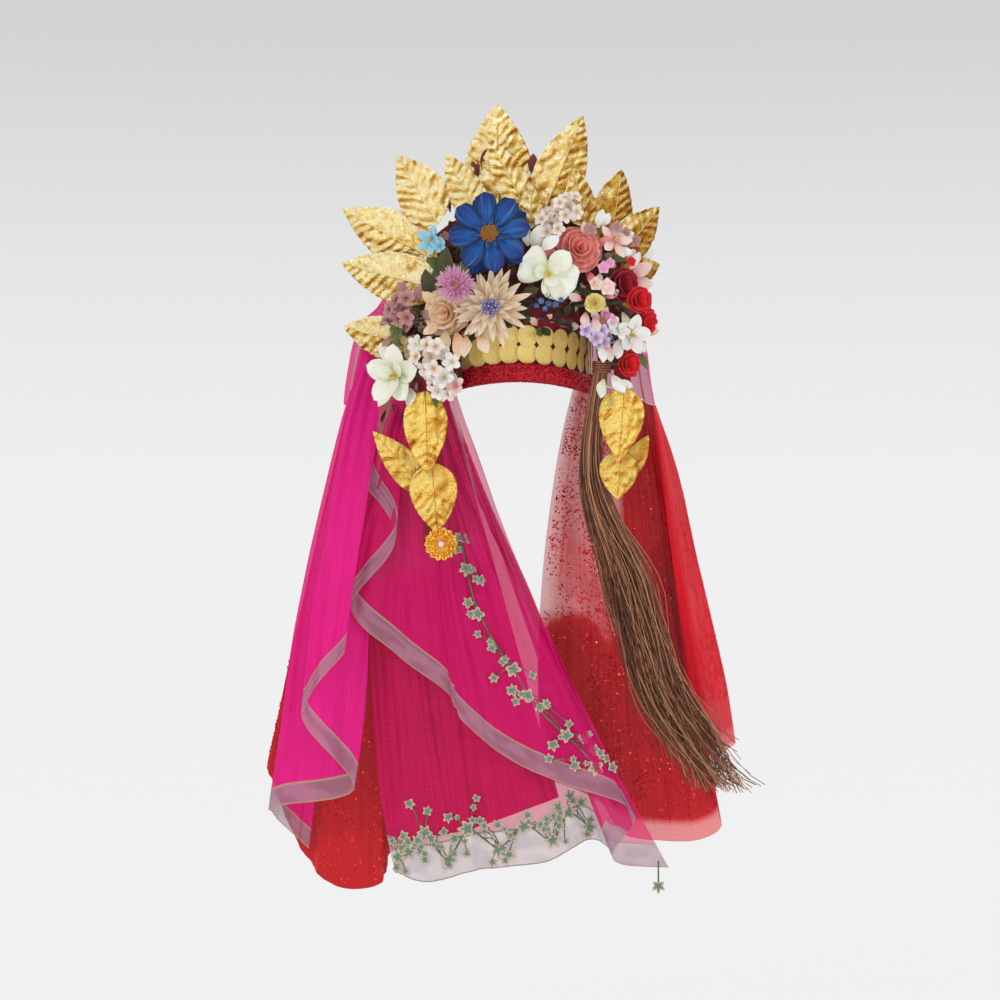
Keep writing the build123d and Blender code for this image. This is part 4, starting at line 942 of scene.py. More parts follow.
def hood_point(turn, level):
    """A point of the hood: turn in degrees from the middle of the back, positive to the right."""
    t = radians(turn)
    half_width = (HOOD_LEFT + HOOD_RIGHT) / 2 + (HOOD_RIGHT - HOOD_LEFT) / 2 * sin(t)
    arch = t * 90 / HOOD_TURN
    top_half = CREST_HALF - HOOD_TUCK
    top_x = top_half * sin(arch)
    top_y = CREST_AXIS - sqrt((CREST_BACK - CLOTH_GAP) ** 2 - top_x ** 2) + HOOD_SIDE_GAP * sin(arch) ** 2
    top = Vector((top_x, top_y, CREST_ARCH_CENTRE + top_half * cos(arch)))
    edge = Vector((half_width * sin(t), HOOD_MIDDLE + (HOOD_BACK - HOOD_MIDDLE) * cos(t),
                   HOOD_EDGE - HOOD_EDGE_DROP * sin(t) ** 2))
    bulge = Vector((half_width * sin(t) * (HOOD_BULGE - HOOD_BULGE_SIDE * sin(t)),
                    HOOD_MIDDLE + (HOOD_BACK * HOOD_BULGE_BACK - HOOD_MIDDLE) * cos(t),
                    CREST_HEIGHT - HOOD_SHOULDER * sin(t) ** 2))
    point = top * (1 - level) ** 2 + bulge * (2 * level * (1 - level)) + edge * level ** 2
    wave = 1 - cos(pi * HOOD_PLEATS * (turn + HOOD_TURN) / HOOD_TURN)
    pleat = HOOD_PLEAT * wave / 2 * sin(pi / 2 * min(level, 1))
    return point + Vector((sin(t), cos(t), 0)) * pleat


def hood_across(u, v):
    return hood_point(2 * HOOD_TURN * u - HOOD_TURN, v)


def in_veils(across, depth, drop):
    """A point at shares of the veils' spread, depth and drop."""
    return Vector((across * VEIL_SPREAD, depth * VEIL_DEPTH, -drop * VEIL_DROP))


def fall(tops, rows, settle):
    """A hanging length of veil as point(u, v), from tops and from rows of hem and bow shares."""
    hems = [in_veils(*row[:3]) for row in rows]
    bows = [bow * VEIL_SPREAD for x, y, z, bow in rows]

    def point(u, v):
        top = through(tops, u)
        hem = through(hems, u)
        bow = through(bows, u)
        forward = 1 - (1 - v) ** settle
        return Vector((top.x + (hem.x - top.x) * v + bow * 4 * v * (1 - v),
                       top.y + (hem.y - top.y) * forward, top.z + (hem.z - top.z) * v))

    return point


FUCHSIA_SIDE = [
    ("top_across", "top_depth", "top_drop", "across", "depth", "drop", "bow"),
    (-0.560, -0.06, -0.076, -0.736, -0.92, 0.566, 0.00),
    (-0.690, -0.02, -0.090, -0.916, -0.86, 0.704, -0.02),
    (-0.620, 0.08, -0.090, -0.704, -0.58, 0.864, 0.04),
    (-0.675, 0.16, -0.090, -1.044, -0.36, 0.908, -0.04),
    (-0.650, 0.30, -0.090, -1.052, -0.08, 0.940, -0.04),
    (-0.580, 0.44, -0.090, -0.920, 0.08, 1.010, -0.02),
]
FUCHSIA_FRONT = [
    ("bearing", "across", "depth", "drop", "bow"),
    (-64, -0.648, -0.56, 0.214, 0.00),
    (-60, -0.524, -0.76, 0.330, 0.02),
    (-56, -0.712, -0.68, 0.472, -0.02),
    (-51, -0.516, -0.63, 0.576, 0.00),
    (-46, -0.296, -0.66, 0.660, 0.00),
    (-42, -0.244, -0.72, 0.712, 0.00),
    (-38, -0.052, -0.66, 0.794, 0.00),
    (-35, 0.188, -0.72, 0.850, 0.00),
    (-32, 0.500, -0.66, 0.912, -0.03),
    (-29, 0.412, -0.50, 1.018, -0.02),
    (-26, 0.652, -0.60, 1.036, -0.06),
]
FUCHSIA_BACK = [
    ("bearing", "across", "depth", "drop", "bow"),
    (-62, -0.532, -0.32, 1.052, -0.12),
    (-55, -0.384, -0.46, 1.070, -0.04),
    (-48, -0.164, -0.28, 1.048, 0.00),
    (-42, 0.124, -0.45, 1.026, 0.00),
    (-36, 0.320, -0.28, 0.982, 0.00),
    (-31, 0.420, -0.20, 1.012, 0.00),
]
RED_LEFT = [
    ("turn", "across", "depth", "drop", "bow"),
    (-82, -1.120, 0.50, 0.832, 0.00),
    (-76, -1.064, 0.34, 0.902, 0.00),
    (-70, -0.950, 0.24, 1.020, 0.00),
    (-62, -0.800, -0.08, 1.088, 0.00),
    (-54, -0.600, -0.14, 1.082, 0.00),
    (-46, -0.532, 0.10, 1.012, 0.00),
    (-38, -0.164, 0.36, 0.968, 0.00),
    (-28, 0.188, 0.30, 0.902, 0.00),
]
RED_RIGHT = [
    ("turn", "across", "depth", "drop", "bow"),
    (24, 0.120, 0.30, 0.860, -0.08),
    (33, 0.352, 0.06, 0.902, -0.04),
    (42, 0.460, -0.08, 0.972, 0.00),
    (52, 0.628, 0.04, 0.992, 0.00),
    (62, 0.804, -0.10, 0.986, 0.00),
    (72, 0.900, 0.00, 0.950, 0.00),
    (80, 0.832, -0.06, 0.840, 0.00),
    (88, 0.952, -0.14, 0.774, 0.03),
    (95, 0.780, -0.26, 0.800, 0.00),
]


def under_crest(bearing, layer):
    """A point just under the crest's left foot, one cloth layer after another from its front."""
    return on_crest(bearing, -layer * (CLOTH + CLEARANCE) - CLEARANCE, CREST_FOOT - CLOTH_GAP)


def under_hood(turn):
    """A point just under the hood's lower edge."""
    return hood_point(turn, 1) - Vector((0, 0, CLOTH_GAP))


def hung(table, settle, edge, *layer):
    """A fall from an edge: each row gives its place along the edge, then its hem and bow."""
    return fall([edge(row[0], *layer) for row in table[1:]], [row[1:] for row in table[1:]], settle)


POINTS = {
    "fuchsia_side": fall([in_veils(row[0], row[1], row[2]) for row in FUCHSIA_SIDE[1:]],
                         [row[3:] for row in FUCHSIA_SIDE[1:]], 2.0),
    "fuchsia_front": hung(FUCHSIA_FRONT, 1.3, under_crest, 0),
    "fuchsia_back": hung(FUCHSIA_BACK, 1.0, under_crest, 1),
    "red_left": hung(RED_LEFT, 1.0, under_hood),
    "red_right": hung(RED_RIGHT, 1.0, under_hood),
    "veil_hood": hood_across,
}


def ease(low, high, value):
    """A smooth step from 0 at low to 1 at high."""
    t = max(0.0, min(1.0, (value - low) / (high - low)))
    return t * t * (3 - 2 * t)


def outward(point, u, v):
    """The direction a cloth faces at (u, v), towards the front."""
    nudge = 0.002
    across = point(min(u + nudge, 1), v) - point(max(u - nudge, 0), v)
    down = point(u, min(v + nudge, 1)) - point(u, max(v - nudge, 0))
    return down.cross(across).normalized()


def creased(point, folds, depth, seed):
    """A cloth's surface with soft folds that run down it, finer creases between them and dents."""
    def surface(u, v):
        drift = 1.4 * noise_at(u * 5, v * 1.8, seed)
        broad = sin(2 * pi * folds * u + 4 * drift)
        fine = sin(2 * pi * folds * 3.1 * u + 6 * drift + seed)
        mood = 0.55 + 0.6 * noise_at(u * 3, v * 1.5, seed + 4)
        dent = 2.4 * noise_at(u * 6, v * 4, seed + 7)
        swing = depth * (broad * mood + 0.3 * fine * (1 - 0.5 * v)) + dent
        return point(u, v) + outward(point, u, v) * swing * ease(0.0, 0.16, v)

    return surface


FOLDS = [
    ("cloth", "folds", "depth", "seed"),
    ("fuchsia_side", 7, 3.8, 1.0),
    ("fuchsia_front", 10, 4.0, 2.0),
    ("fuchsia_back", 9, 3.2, 3.0),
    ("red_left", 11, 3.4, 4.0),
    ("red_right", 12, 3.4, 5.0),
    ("veil_hood", 16, 2.2, 6.0),
]
SURFACES = {name: creased(POINTS[name], folds, depth, seed) for name, folds, depth, seed in FOLDS[1:]}


# The third mark of each cloth: the distance from its bordered hem in decimetres, or how closely it is worked

def side_hem(u, v):
    return (1 - v) * (3.2 + 2.2 * u)


def front_hem(u, v):
    return (1 - v) * (1.0 + 4.2 * u ** 0.7)


def back_hem(u, v):
    return (1 - v) * 5.0


def unworked(u, v):
    return 0.0


def worked_left(u, v):
    """The left red fall is dense with sequins near its hem."""
    return 0.6 + 0.6 * ease(0.35, 0.6, v)


def worked_right(u, v):
    """The right red fall is sheer at its inner and outer edges and at its hem, and dense low down."""
    drift = 0.5 + 0.5 * noise_at(u * 7, v * 5, 3)
    hem = 1 - 0.75 * ease(0.94, 0.97, v)
    start = 0.66 - 0.8 * min(u, 0.4) + 0.25 * (drift - 0.5)
    low = ease(start - 0.12, start + 0.10, v) * (1 - ease(0.66, 0.86, u))
    middle = ease(0.22, 0.34, u) * (1 - ease(0.72, 0.88, u)) * (0.6 + 0.5 * drift)
    inner = 0.42 * ease(0.01, 0.07, u) * (0.5 + drift)
    return (max(low, middle, inner) + 0.12 * drift) * hem * (1 - 0.5 * ease(0.88, 0.97, u))


ON_HOOD = ["veil_hood_cloth"]
ON_CREST = ["crest"]
ON_HEAD = ["crest", "cap"]

# The six sheets. Each is shaped as it hangs, and its flat size is read back from that shape: the width is
# the hem's length with its slant taken out, in millimetres, the length is the longest fall, and the area is
# the share of that rectangle that the cut takes up
VEILS = [
    ("name", "columns", "rows", "look", "slot", "width", "length", "area", "third", "held", "rests_on"),
    ("fuchsia_side", 170, 80, FUCHSIA_OUTER, "veil_fuchsia", 310, 558, 0.67, side_hem, "hung", ON_HOOD),
    ("fuchsia_front", 260, 90, FUCHSIA, "veil_fuchsia", 523, 563, 0.38, front_hem, "hung", ON_CREST),
    ("fuchsia_back", 180, 90, FUCHSIA_HEM, "veil_fuchsia", 278, 536, 0.72, back_hem, "hung", ON_CREST),
    ("red_left", 180, 90, RED_TULLE, "veil_red", 461, 548, 0.56, worked_left, "hung", ON_HOOD),
    ("red_right", 220, 90, RED_TULLE, "veil_red", 392, 504, 0.64, worked_right, "hung", ON_HOOD),
    ("veil_hood", 260, 40, FUCHSIA_PLAIN, "veil_fuchsia", 496, 311, 0.65, unworked, "draped", ON_HEAD),
]


def veils():
    for name, columns, rows, look, slot, width, length, area, third, held, rests_on in VEILS[1:]:
        heap = Heap()
        heap.grid(SURFACES[name], columns, rows, 0,
                  lambda u, v: (u * width / 100, v * length / 100, third(u, v)))
        made = heap.make(name + "_cloth", [look], slot, [name])
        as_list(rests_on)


# Coins, band and cap

# A coin's face from its middle to its rim: share of the radius, and height in shares of its thickness
COIN_PROFILE = [
    (0.0, 0.55), (0.12, 0.60), (0.22, 0.35), (0.40, 0.25), (0.60, 0.22), (0.74, 0.28),
    (0.80, 0.55), (0.86, 0.55), (0.91, 0.20), (0.95, 0.75), (1.0, 0.50),
]
COIN_RAYS = 8
COIN_BEADS = 24


def coin(heap, place):
    """A gilt coin with a beaded border and a rayed boss."""
    radius = COIN_DIAMETER / 2
    spans = len(COIN_PROFILE) - 1

    def face(u, v):
        a = 2 * pi * u
        index = min(int(v * spans), spans - 1)
        t = v * spans - index
        share, height = (inner * (1 - t) + outer * t
                         for inner, outer in zip(COIN_PROFILE[index], COIN_PROFILE[index + 1]))
        if 0.2 < share < 0.72:
            height += 0.28 * max(0, cos(COIN_RAYS * a)) * (1 - abs(share - 0.46) / 0.26)
        if 0.74 < share < 0.9:
            height += 0.22 * cos(COIN_BEADS * a)
        return place @ polar(radius * share, a, COIN_THICKNESS * (0.35 + height))

    def back(u, v):
        return place @ polar(radius * (1 - v), -2 * pi * u, 0.85 * COIN_THICKNESS * (v < 0.01))

    heap.grid(face, 60, 14, wrap=True)
    heap.grid(back, 60, 3, wrap=True)


def coin_row(name, rise, standoff):
    heap = Heap()
    bearing = radians(COIN_FIRST)
    while bearing < radians(COIN_LAST):
        x = CAP_HALF_WIDTH * sin(bearing)
        y = -CAP_HALF_DEPTH * cos(bearing)
        turn = atan2(x / CAP_HALF_WIDTH ** 2, -y / CAP_HALF_DEPTH ** 2)
        origin = Vector((x + standoff * sin(turn), y - standoff * cos(turn), rim_height(x, y) + rise))
        coin(heap, facing(origin, degrees(turn) + COIN_YAW, 0))
        pace = (CAP_HALF_WIDTH * cos(bearing)) ** 2 + (CAP_HALF_DEPTH * sin(bearing)) ** 2
        bearing += COIN_PITCH / sqrt(pace)
    heap.make(name + "_gilt", [COIN_GOLD], "coin_gold", [name])


def coins():
    lower_rise = BAND_HEIGHT + COIN_GAP_OVER_BAND + COIN_DIAMETER / 2
    lap = sqrt((COIN_DIAMETER / 2) ** 2 - (COIN_PITCH / 2) ** 2)
    upper_standoff = COIN_STANDOFF + COIN_THICKNESS + COIN_RELIEF + lap * sin(radians(COIN_YAW))
    coin_row("coin_row_lower", lower_rise, COIN_STANDOFF)
    coin_row("coin_row_upper", lower_rise + COIN_PITCH, upper_standoff)


def sequin(heap, centre, normal, radius, draw):
    """A small round sequin, tilted a little."""
    lean = Vector((draw.uniform(-1, 1), draw.uniform(-1, 1), draw.uniform(-1, 1))) * 0.35
    axis = (normal + lean).normalized()
    side = axis.cross(Vector((0.2, 0.3, 0.93))).normalized()
    other = axis.cross(side)
    rim = [centre + (side * cos(pi * k / 3) + other * sin(pi * k / 3)) * radius for k in range(6)]
    heap.fan(rim, (0, draw.random(), 0))


BAND_ROWS = 9
BAND_SEQUINS = 260
BAND_SEQUIN_RADIUS = 2.1
LOWEST_ROW_INSET = 1.6


def band_sequins():
    """Rows of sequins round the brow band, over its front and its lower edge."""
    draw = Random(5)
    heap = Heap()
    for row in range(BAND_ROWS):
        level = row / (BAND_ROWS - 1)
        out = BAND_THICKNESS + CLEARANCE - (LOWEST_ROW_INSET if row == 0 else 0.0)
        for step in range(BAND_SEQUINS):
            a = 2 * pi * (step + 0.5 * (row % 2)) / BAND_SEQUINS
            x = (CAP_HALF_WIDTH + out) * sin(a)
            y = -(CAP_HALF_DEPTH + out) * cos(a)
            base = rim_height(max(-CAP_HALF_WIDTH, min(CAP_HALF_WIDTH, x)), y)
            z = base + 0.3 + level * (BAND_HEIGHT - 0.6)
            normal = Vector((sin(a), -cos(a), 0.5 * (level - 0.5)))
            centre = Vector((x, y, z)) + normal * (0.6 + 0.9 * sin(pi * level))
            sequin(heap, centre, normal, BAND_SEQUIN_RADIUS, draw)
    heap.make("band_sequins", [BAND_SEQUIN], "brow_sequins", thickness=0.15)


# Stitching on the cap: its height, its two rows and the bearings that it runs between, in degrees
STITCH_HEIGHT = 73
STITCH_ROWS = (0, 7)
STITCH_FROM = -40
STITCH_RUN = 110
STITCH_STEPS = 180
SCALLOP_DEPTH = 4.0
# Loops of lace at the right end of the stitching: bearings, heights, and the radius of a loop
LACE_LOOPS = 110
LACE_BEARINGS = (34, 50)
LACE_HEIGHTS = (66, 84)
LACE_RADIUS = 2.4


def on_cap(bearing, height):
    """A point just off the cap."""
    a = radians(bearing)
    return Vector(((CAP_HALF_WIDTH + 0.8) * sin(a), -(CAP_HALF_DEPTH + 0.8) * cos(a), height))


def cap_trim():
    """Scalloped stitching and a strip of lace on the cap above the coins."""
    heap = Heap()
    for lift in STITCH_ROWS:
        path = []
        for step in range(STITCH_STEPS + 1):
            bearing = STITCH_FROM + STITCH_RUN * step / STITCH_STEPS
            swing = abs(sin(radians(bearing) * 10)) * SCALLOP_DEPTH
            path.append(on_cap(bearing, STITCH_HEIGHT + lift - swing))
        heap.tube(path, 0.6)
    draw = Random(8)
    for loop in range(LACE_LOOPS):
        bearing = draw.uniform(*LACE_BEARINGS)
        centre = on_cap(bearing, draw.uniform(*LACE_HEIGHTS))
        normal = ahead_at(bearing)
        side = Vector((cos(radians(bearing)), sin(radians(bearing)), 0))
        path = []
        for k in range(7):
            round_it = (side * cos(k * pi / 3) + Vector((0, 0, sin(k * pi / 3)))) * LACE_RADIUS
            path.append(centre + round_it + normal * draw.uniform(0.6, 4))
        heap.tube(path, 0.4, 4, 1)
    heap.make("cap_stitching", [SCALLOP, LACE], "cap_cloth")


# Strands

STRAND_STATIONS = [
    ("across", "drop", "depth", "half_width"),
    (0.336, 0.004, -0.79, 0.080),
    (0.316, 0.124, -0.70, 0.120),
    (0.340, 0.240, -0.64, 0.180),
    (0.448, 0.380, -0.62, 0.280),
    (0.520, 0.512, -0.60, 0.310),
    (0.616, 0.650, -0.58, 0.340),
    (0.760, 0.770, -0.56, 0.360),
    (0.888, 0.864, -0.54, 0.320),
]
HEAD_RADIUS = 8.0
HEAD_STANDOFF = 8
STRAND_COUNT = 300
STRAND_STEPS = 22
LOOSE_SHARE = 0.08
# The last part of each strand, as a share of its length, frays by curling out and down
FRAY = 0.16
# The binding at the head: its turns, their half width and half depth, and how far apart they are
BINDING_TURNS = 5
BINDING_WIDTH = 9.2
BINDING_DEPTH = 7.6
BINDING_PITCH = 2.6


def strands():
    """A bundle of thin copper brown strands that fans out as it falls."""
    draw = Random(11)
    head = seat_at(STRAND_HEAD_X, CREST_HEIGHT * STRAND_HEAD_LEVEL) - Vector((0, HEAD_STANDOFF, 0))
    rows = STRAND_STATIONS[2:]
    centres = [head] + [in_veils(across, depth, drop) for across, drop, depth, half_width in rows]
    widths = [HEAD_RADIUS] + [row[3] * VEIL_DEPTH for row in rows]
    heap = Heap()
    for index in range(STRAND_COUNT):
        angle = draw.uniform(0, 2 * pi)
        spread = sqrt(draw.random())
        offset = Vector((spread * cos(angle), 0.35 * spread * sin(angle), 0))
        last = min(1.0, 0.78 + 0.30 * draw.random())
        loose = draw.random() < LOOSE_SHARE
        seed = draw.uniform(0, 90)
        curl = draw.uniform(-1, 1)
        path = []
        for step in range(STRAND_STEPS + 1):
            v = last * step / STRAND_STEPS
            width = through(widths, v)
            stray = Vector((noise_at(seed, v * 3.2, 0), 0.5 * noise_at(v * 3, seed, 4), 0))
            stray *= width * (0.55 + 0.6 * loose) * min(1, 2 * v)
            end = max(0, v / last - (1 - FRAY)) / FRAY
            hook = Vector((20 * curl * end ** 2, -3 * end, 9 * abs(curl) * end ** 2 - 5 * end))
            path.append(through(centres, v) + offset * width * 0.92 + stray + hook)
        heap.tube(path, draw.uniform(0.42, 0.68), 4, 0, (0, draw.random(), 0), 0.7)
    for turn in range(BINDING_TURNS):
        ring = []
        for k in range(15):
            a = 2 * pi * k / 14
            level = 3 - BINDING_PITCH * turn
            ring.append(head + Vector((BINDING_WIDTH * cos(a), BINDING_DEPTH * sin(a), level)))
        heap.tube(ring, 1.3, 6)
    heap.make("strand_bundle_threads", [STRAND], "strands_copper", ["strand_bundle"])


# Ivy

IVY_OUTLINE = [
    ("angle", "reach"),
    (0, 1.00), (24, 0.50), (52, 0.86), (84, 0.46), (122, 0.70), (165, 0.30),
    (195, 0.30), (238, 0.70), (276, 0.46), (308, 0.86), (336, 0.50),
]


def ivy_leaf(heap, place, length, spin, curl):
    """A five-lobed ivy leaf with pale margins, a little cupped."""
    count = len(IVY_OUTLINE) - 1
    rings = (0.0, 0.35, 0.7, 1.0)

    def point(u, v):
        index = int(round(u * count * 2)) % (count * 2)
        angle, reach = IVY_OUTLINE[1 + index // 2]
        if index % 2:
            next_angle, next_reach = IVY_OUTLINE[1 + (index // 2 + 1) % count]
            if next_angle < angle:
                next_angle += 360
            angle, reach = (angle + next_angle) / 2, (reach + next_reach) / 2 * 1.04
        r = length * reach * rings[int(round(v * 3))]
        a = radians(angle + spin)
        return place @ Vector((-r * sin(a), r * cos(a), 0.9 - curl * r * r / length + 0.05 * r * cos(5 * a)))

    heap.grid(point, count * 2, 3, 0, lambda u, v: (u, v, 0), wrap=True)


def off_cloth(point, u, v):
    """The frame just in front of a cloth at (u, v), facing away from it."""
    nudge = 0.01
    across = (point(min(u + nudge, 1), v) - point(max(u - nudge, 0), v)).normalized()
    normal = outward(point, u, v)
    place = Matrix((across, normal.cross(across), normal)).transposed().to_4x4()
    place.translation = point(u, v) + normal * IVY_STANDOFF
    return place


IVY_FRONT = [
    ("u", "v", "size", "spin"),
    (0.600, 0.40, 0.9, 20), (0.600, 0.48, 1.0, 200), (0.610, 0.60, 1.0, 160), (0.670, 0.72, 1.1, 230),
    (0.690, 0.78, 1.0, 130), (0.735, 0.86, 1.0, 60), (0.760, 0.92, 1.1, 190),
]
IVY_BACK = [
    ("u", "v", "size", "spin"),
    (0.060, 0.96, 1.1, 240), (0.130, 0.94, 1.1, 160), (0.210, 0.90, 1.0, 30), (0.290, 0.96, 1.2, 190),
    (0.380, 0.91, 1.2, 80), (0.470, 0.96, 1.1, 170), (0.560, 0.92, 1.2, 20), (0.640, 0.96, 1.1, 200),
    (0.730, 0.93, 1.1, 330), (0.820, 0.97, 1.2, 150),
]


def sprig(heap, point, start, draw, reach=1.0):
    """A short side stem with small leaves, off a place of the main vine."""
    u, v = start
    side = draw.choice((-1, 1))
    end_u = max(0.02, min(0.985, u + side * draw.uniform(0.015, 0.045) * reach))
    end_v = max(0.05, min(0.985, v + draw.uniform(-0.045, 0.035) * reach))
    end = off_cloth(point, end_u, end_v)
    middle = off_cloth(point, (u + end_u) / 2 + 0.004, (v + end_v) / 2 - 0.010)
    heap.tube([off_cloth(point, u, v).translation, middle.translation, end.translation], 0.5, 4, 1)
    ivy_leaf(heap, end, draw.uniform(0.6, 0.95) * IVY_LEAF, draw.uniform(0, 360), draw.uniform(0.0, 0.3))
    if draw.random() < 0.6:
        ivy_leaf(heap, middle, draw.uniform(0.4, 0.6) * IVY_LEAF, draw.uniform(0, 360), 0.2)


VINE_RADIUS = 0.8
# Below this level the vine has more side stems
BUSHY_FROM = 0.68


def ivy():
    """The vine along the fuchsia veil's edge and hem, with its leaves, and the leaf that hangs free."""
    draw = Random(21)
    heap = Heap()
    for name, table in (("fuchsia_front", IVY_FRONT), ("fuchsia_back", IVY_BACK)):
        point = POINTS[name]
        places = [Vector((u, v, 0)) for u, v, size, spin in table[1:]]
        steps = 10 * (len(places) - 1)
        vine = [through(places, step / steps) for step in range(steps + 1)]
        path = [off_cloth(point, u, v + 0.004 * sin(9 * u + 40 * v)).translation for u, v, flat in vine]
        heap.tube(path, VINE_RADIUS, 5, 1)
        for u, v, size, spin in table[1:]:
            ivy_leaf(heap, off_cloth(point, u, v), size * 1.1 * IVY_LEAF, spin, draw.uniform(0.0, 0.25))
            sprig(heap, point, (u, v), draw)
            sprig(heap, point, (u, v), draw, 1.5)
        for u, v, flat in vine[3::3]:
            if v > BUSHY_FROM:
                sprig(heap, point, (u, v), draw, 1.4)
    corner = off_cloth(POINTS["fuchsia_front"], IVY_CORNER, IVY_CORNER).translation
    hanging = corner - Vector((0, 0, IVY_HANG))
    ivy_leaf(heap, facing(hanging, 0, 0), IVY_LEAF, 180, 0.1)
    heap.stem(corner, hanging, VINE_RADIUS, 5, 1)
    heap.make("ivy_leaves", [IVY, STEM_GREEN], "ivy_green", ["ivy_garland"], 0.3)


# Sequins on the red veil

# Patches: the cloth, u and v from and to, and how many places are tried
SEQUIN_PATCHES = [
    ("cloth", "low_u", "high_u", "low_v", "high_v", "count"),
    ("red_left", 0.00, 0.75, 0.62, 0.99, 2600),
    ("red_left", 0.75, 1.00, 0.45, 0.99, 700),
    ("red_left", 0.90, 1.00, 0.04, 0.90, 600),
    ("red_left", 0.00, 0.90, 0.10, 0.62, 900),
    ("red_right", 0.00, 0.60, 0.62, 0.95, 2600),
    ("red_right", 0.02, 0.24, 0.04, 0.42, 1500),
    ("red_right", 0.02, 0.30, 0.40, 0.66, 900),
    ("red_right", 0.30, 0.72, 0.05, 0.62, 1500),
    ("red_right", 0.70, 0.92, 0.60, 0.86, 500),
]
# Sequin rings on the right fall: middle in u and v and radius in millimetres
SEQUIN_RINGS = [
    ("u", "v", "radius"),
    (0.80, 0.44, 10), (0.74, 0.26, 6), (0.86, 0.64, 8), (0.70, 0.58, 9), (0.62, 0.36, 7), (0.90, 0.30, 7),
    (0.82, 0.36, 6), (0.88, 0.52, 6), (0.76, 0.52, 6), (0.84, 0.76, 9), (0.92, 0.70, 6), (0.80, 0.82, 7),
]
# Chains of sequins on the right fall, as places in u and v
SEQUIN_CHAINS = [
    [(0.66, 0.16), (0.70, 0.24), (0.78, 0.30), (0.82, 0.38), (0.80, 0.50), (0.84, 0.58), (0.86, 0.70),
     (0.82, 0.82)],
    [(0.88, 0.20), (0.90, 0.34), (0.86, 0.44), (0.90, 0.56), (0.92, 0.68), (0.90, 0.80)],
    [(0.70, 0.40), (0.74, 0.48), (0.72, 0.60), (0.76, 0.70), (0.74, 0.84)],
]
SEQUIN_GAP = 0.5
RING_SPACING = 2.2
CHAIN_SEQUINS = 90


def sew(heap, name, u, v, radius, draw):
    """A sequin on a cloth at (u, v)."""
    normal = outward(POINTS[name], u, v)
    sequin(heap, SURFACES[name](u, v) + normal * SEQUIN_GAP, normal, radius, draw)


def veil_sequins():
    draw = Random(31)
    heaps = {"red_left": Heap(), "red_right": Heap()}
    for name, low_u, high_u, low_v, high_v, count in SEQUIN_PATCHES[1:]:
        for index in range(count):
            u = draw.uniform(low_u, high_u)
            v = draw.uniform(low_v, high_v)
            if noise_at(u * 16, v * 16, 2) >= draw.uniform(-0.55, 0.25):
                sew(heaps[name], name, u, v, draw.uniform(0.7, 1.35), draw)
    name = "red_right"
    point = POINTS[name]
    for u, v, radius in SEQUIN_RINGS[1:]:
        across = (point(min(u + 0.01, 1), v) - point(u - 0.01, v)).length / 0.02
        down = (point(u, min(v + 0.01, 1)) - point(u, v - 0.01)).length / 0.02
        count = round(2 * pi * radius / RING_SPACING)
        for index in range(count):
            a = 2 * pi * index / count
            sew(heaps[name], name, u + radius * cos(a) / across, v + radius * sin(a) / down, 1.0, draw)
    for chain in SEQUIN_CHAINS:
        places = [Vector((u, v, 0)) for u, v in chain]
        for index in range(CHAIN_SEQUINS):
            u, v, flat = through(places, index / (CHAIN_SEQUINS - 1))
            sew(heaps[name], name, u, v, 1.0, draw)
    for name, heap in heaps.items():
        heap.make(name + "_sequins", [VEIL_SEQUIN], "veil_red")


# Small trim among the flowers

# The depth from which the search for a place in front of the crest begins
SEARCH_DEPTH = -60


def off_crest(across, down, standoff):
    """The point a stand-off in front of the crest that the photo shows at a pixel."""
    place = pixel(across, down, SEARCH_DEPTH)
    for step in range(3):
        inside = max(0.0, (CREST_FRONT + standoff) ** 2 - place.x ** 2)
        place = pixel(across, down, CREST_AXIS - sqrt(inside))
    return place


def blade(heap, place, length, width, bend, kind, wave=0.12):
    """One small petal or leaf that runs up its frame's y from the origin, facing z."""
    def point(u, v):
        t = 2 * u - 1
        half = width * max(sin(pi * (0.04 + 0.96 * v) ** 1.15), 0) ** 0.8
        z = bend * length * v * v + 0.25 * half * t * t + wave * half * sin(4 * v + 3 * t)
        return place @ Vector((half * t, length * v, z))

    heap.grid(point, 4, 6, kind)


def turned(place, spin, lean=0.0):
    """A frame spun in its own plane, in degrees clockwise, and leant away."""
    return place @ Matrix.Rotation(radians(-spin), 4, "Z") @ Matrix.Rotation(radians(lean), 4, "X")


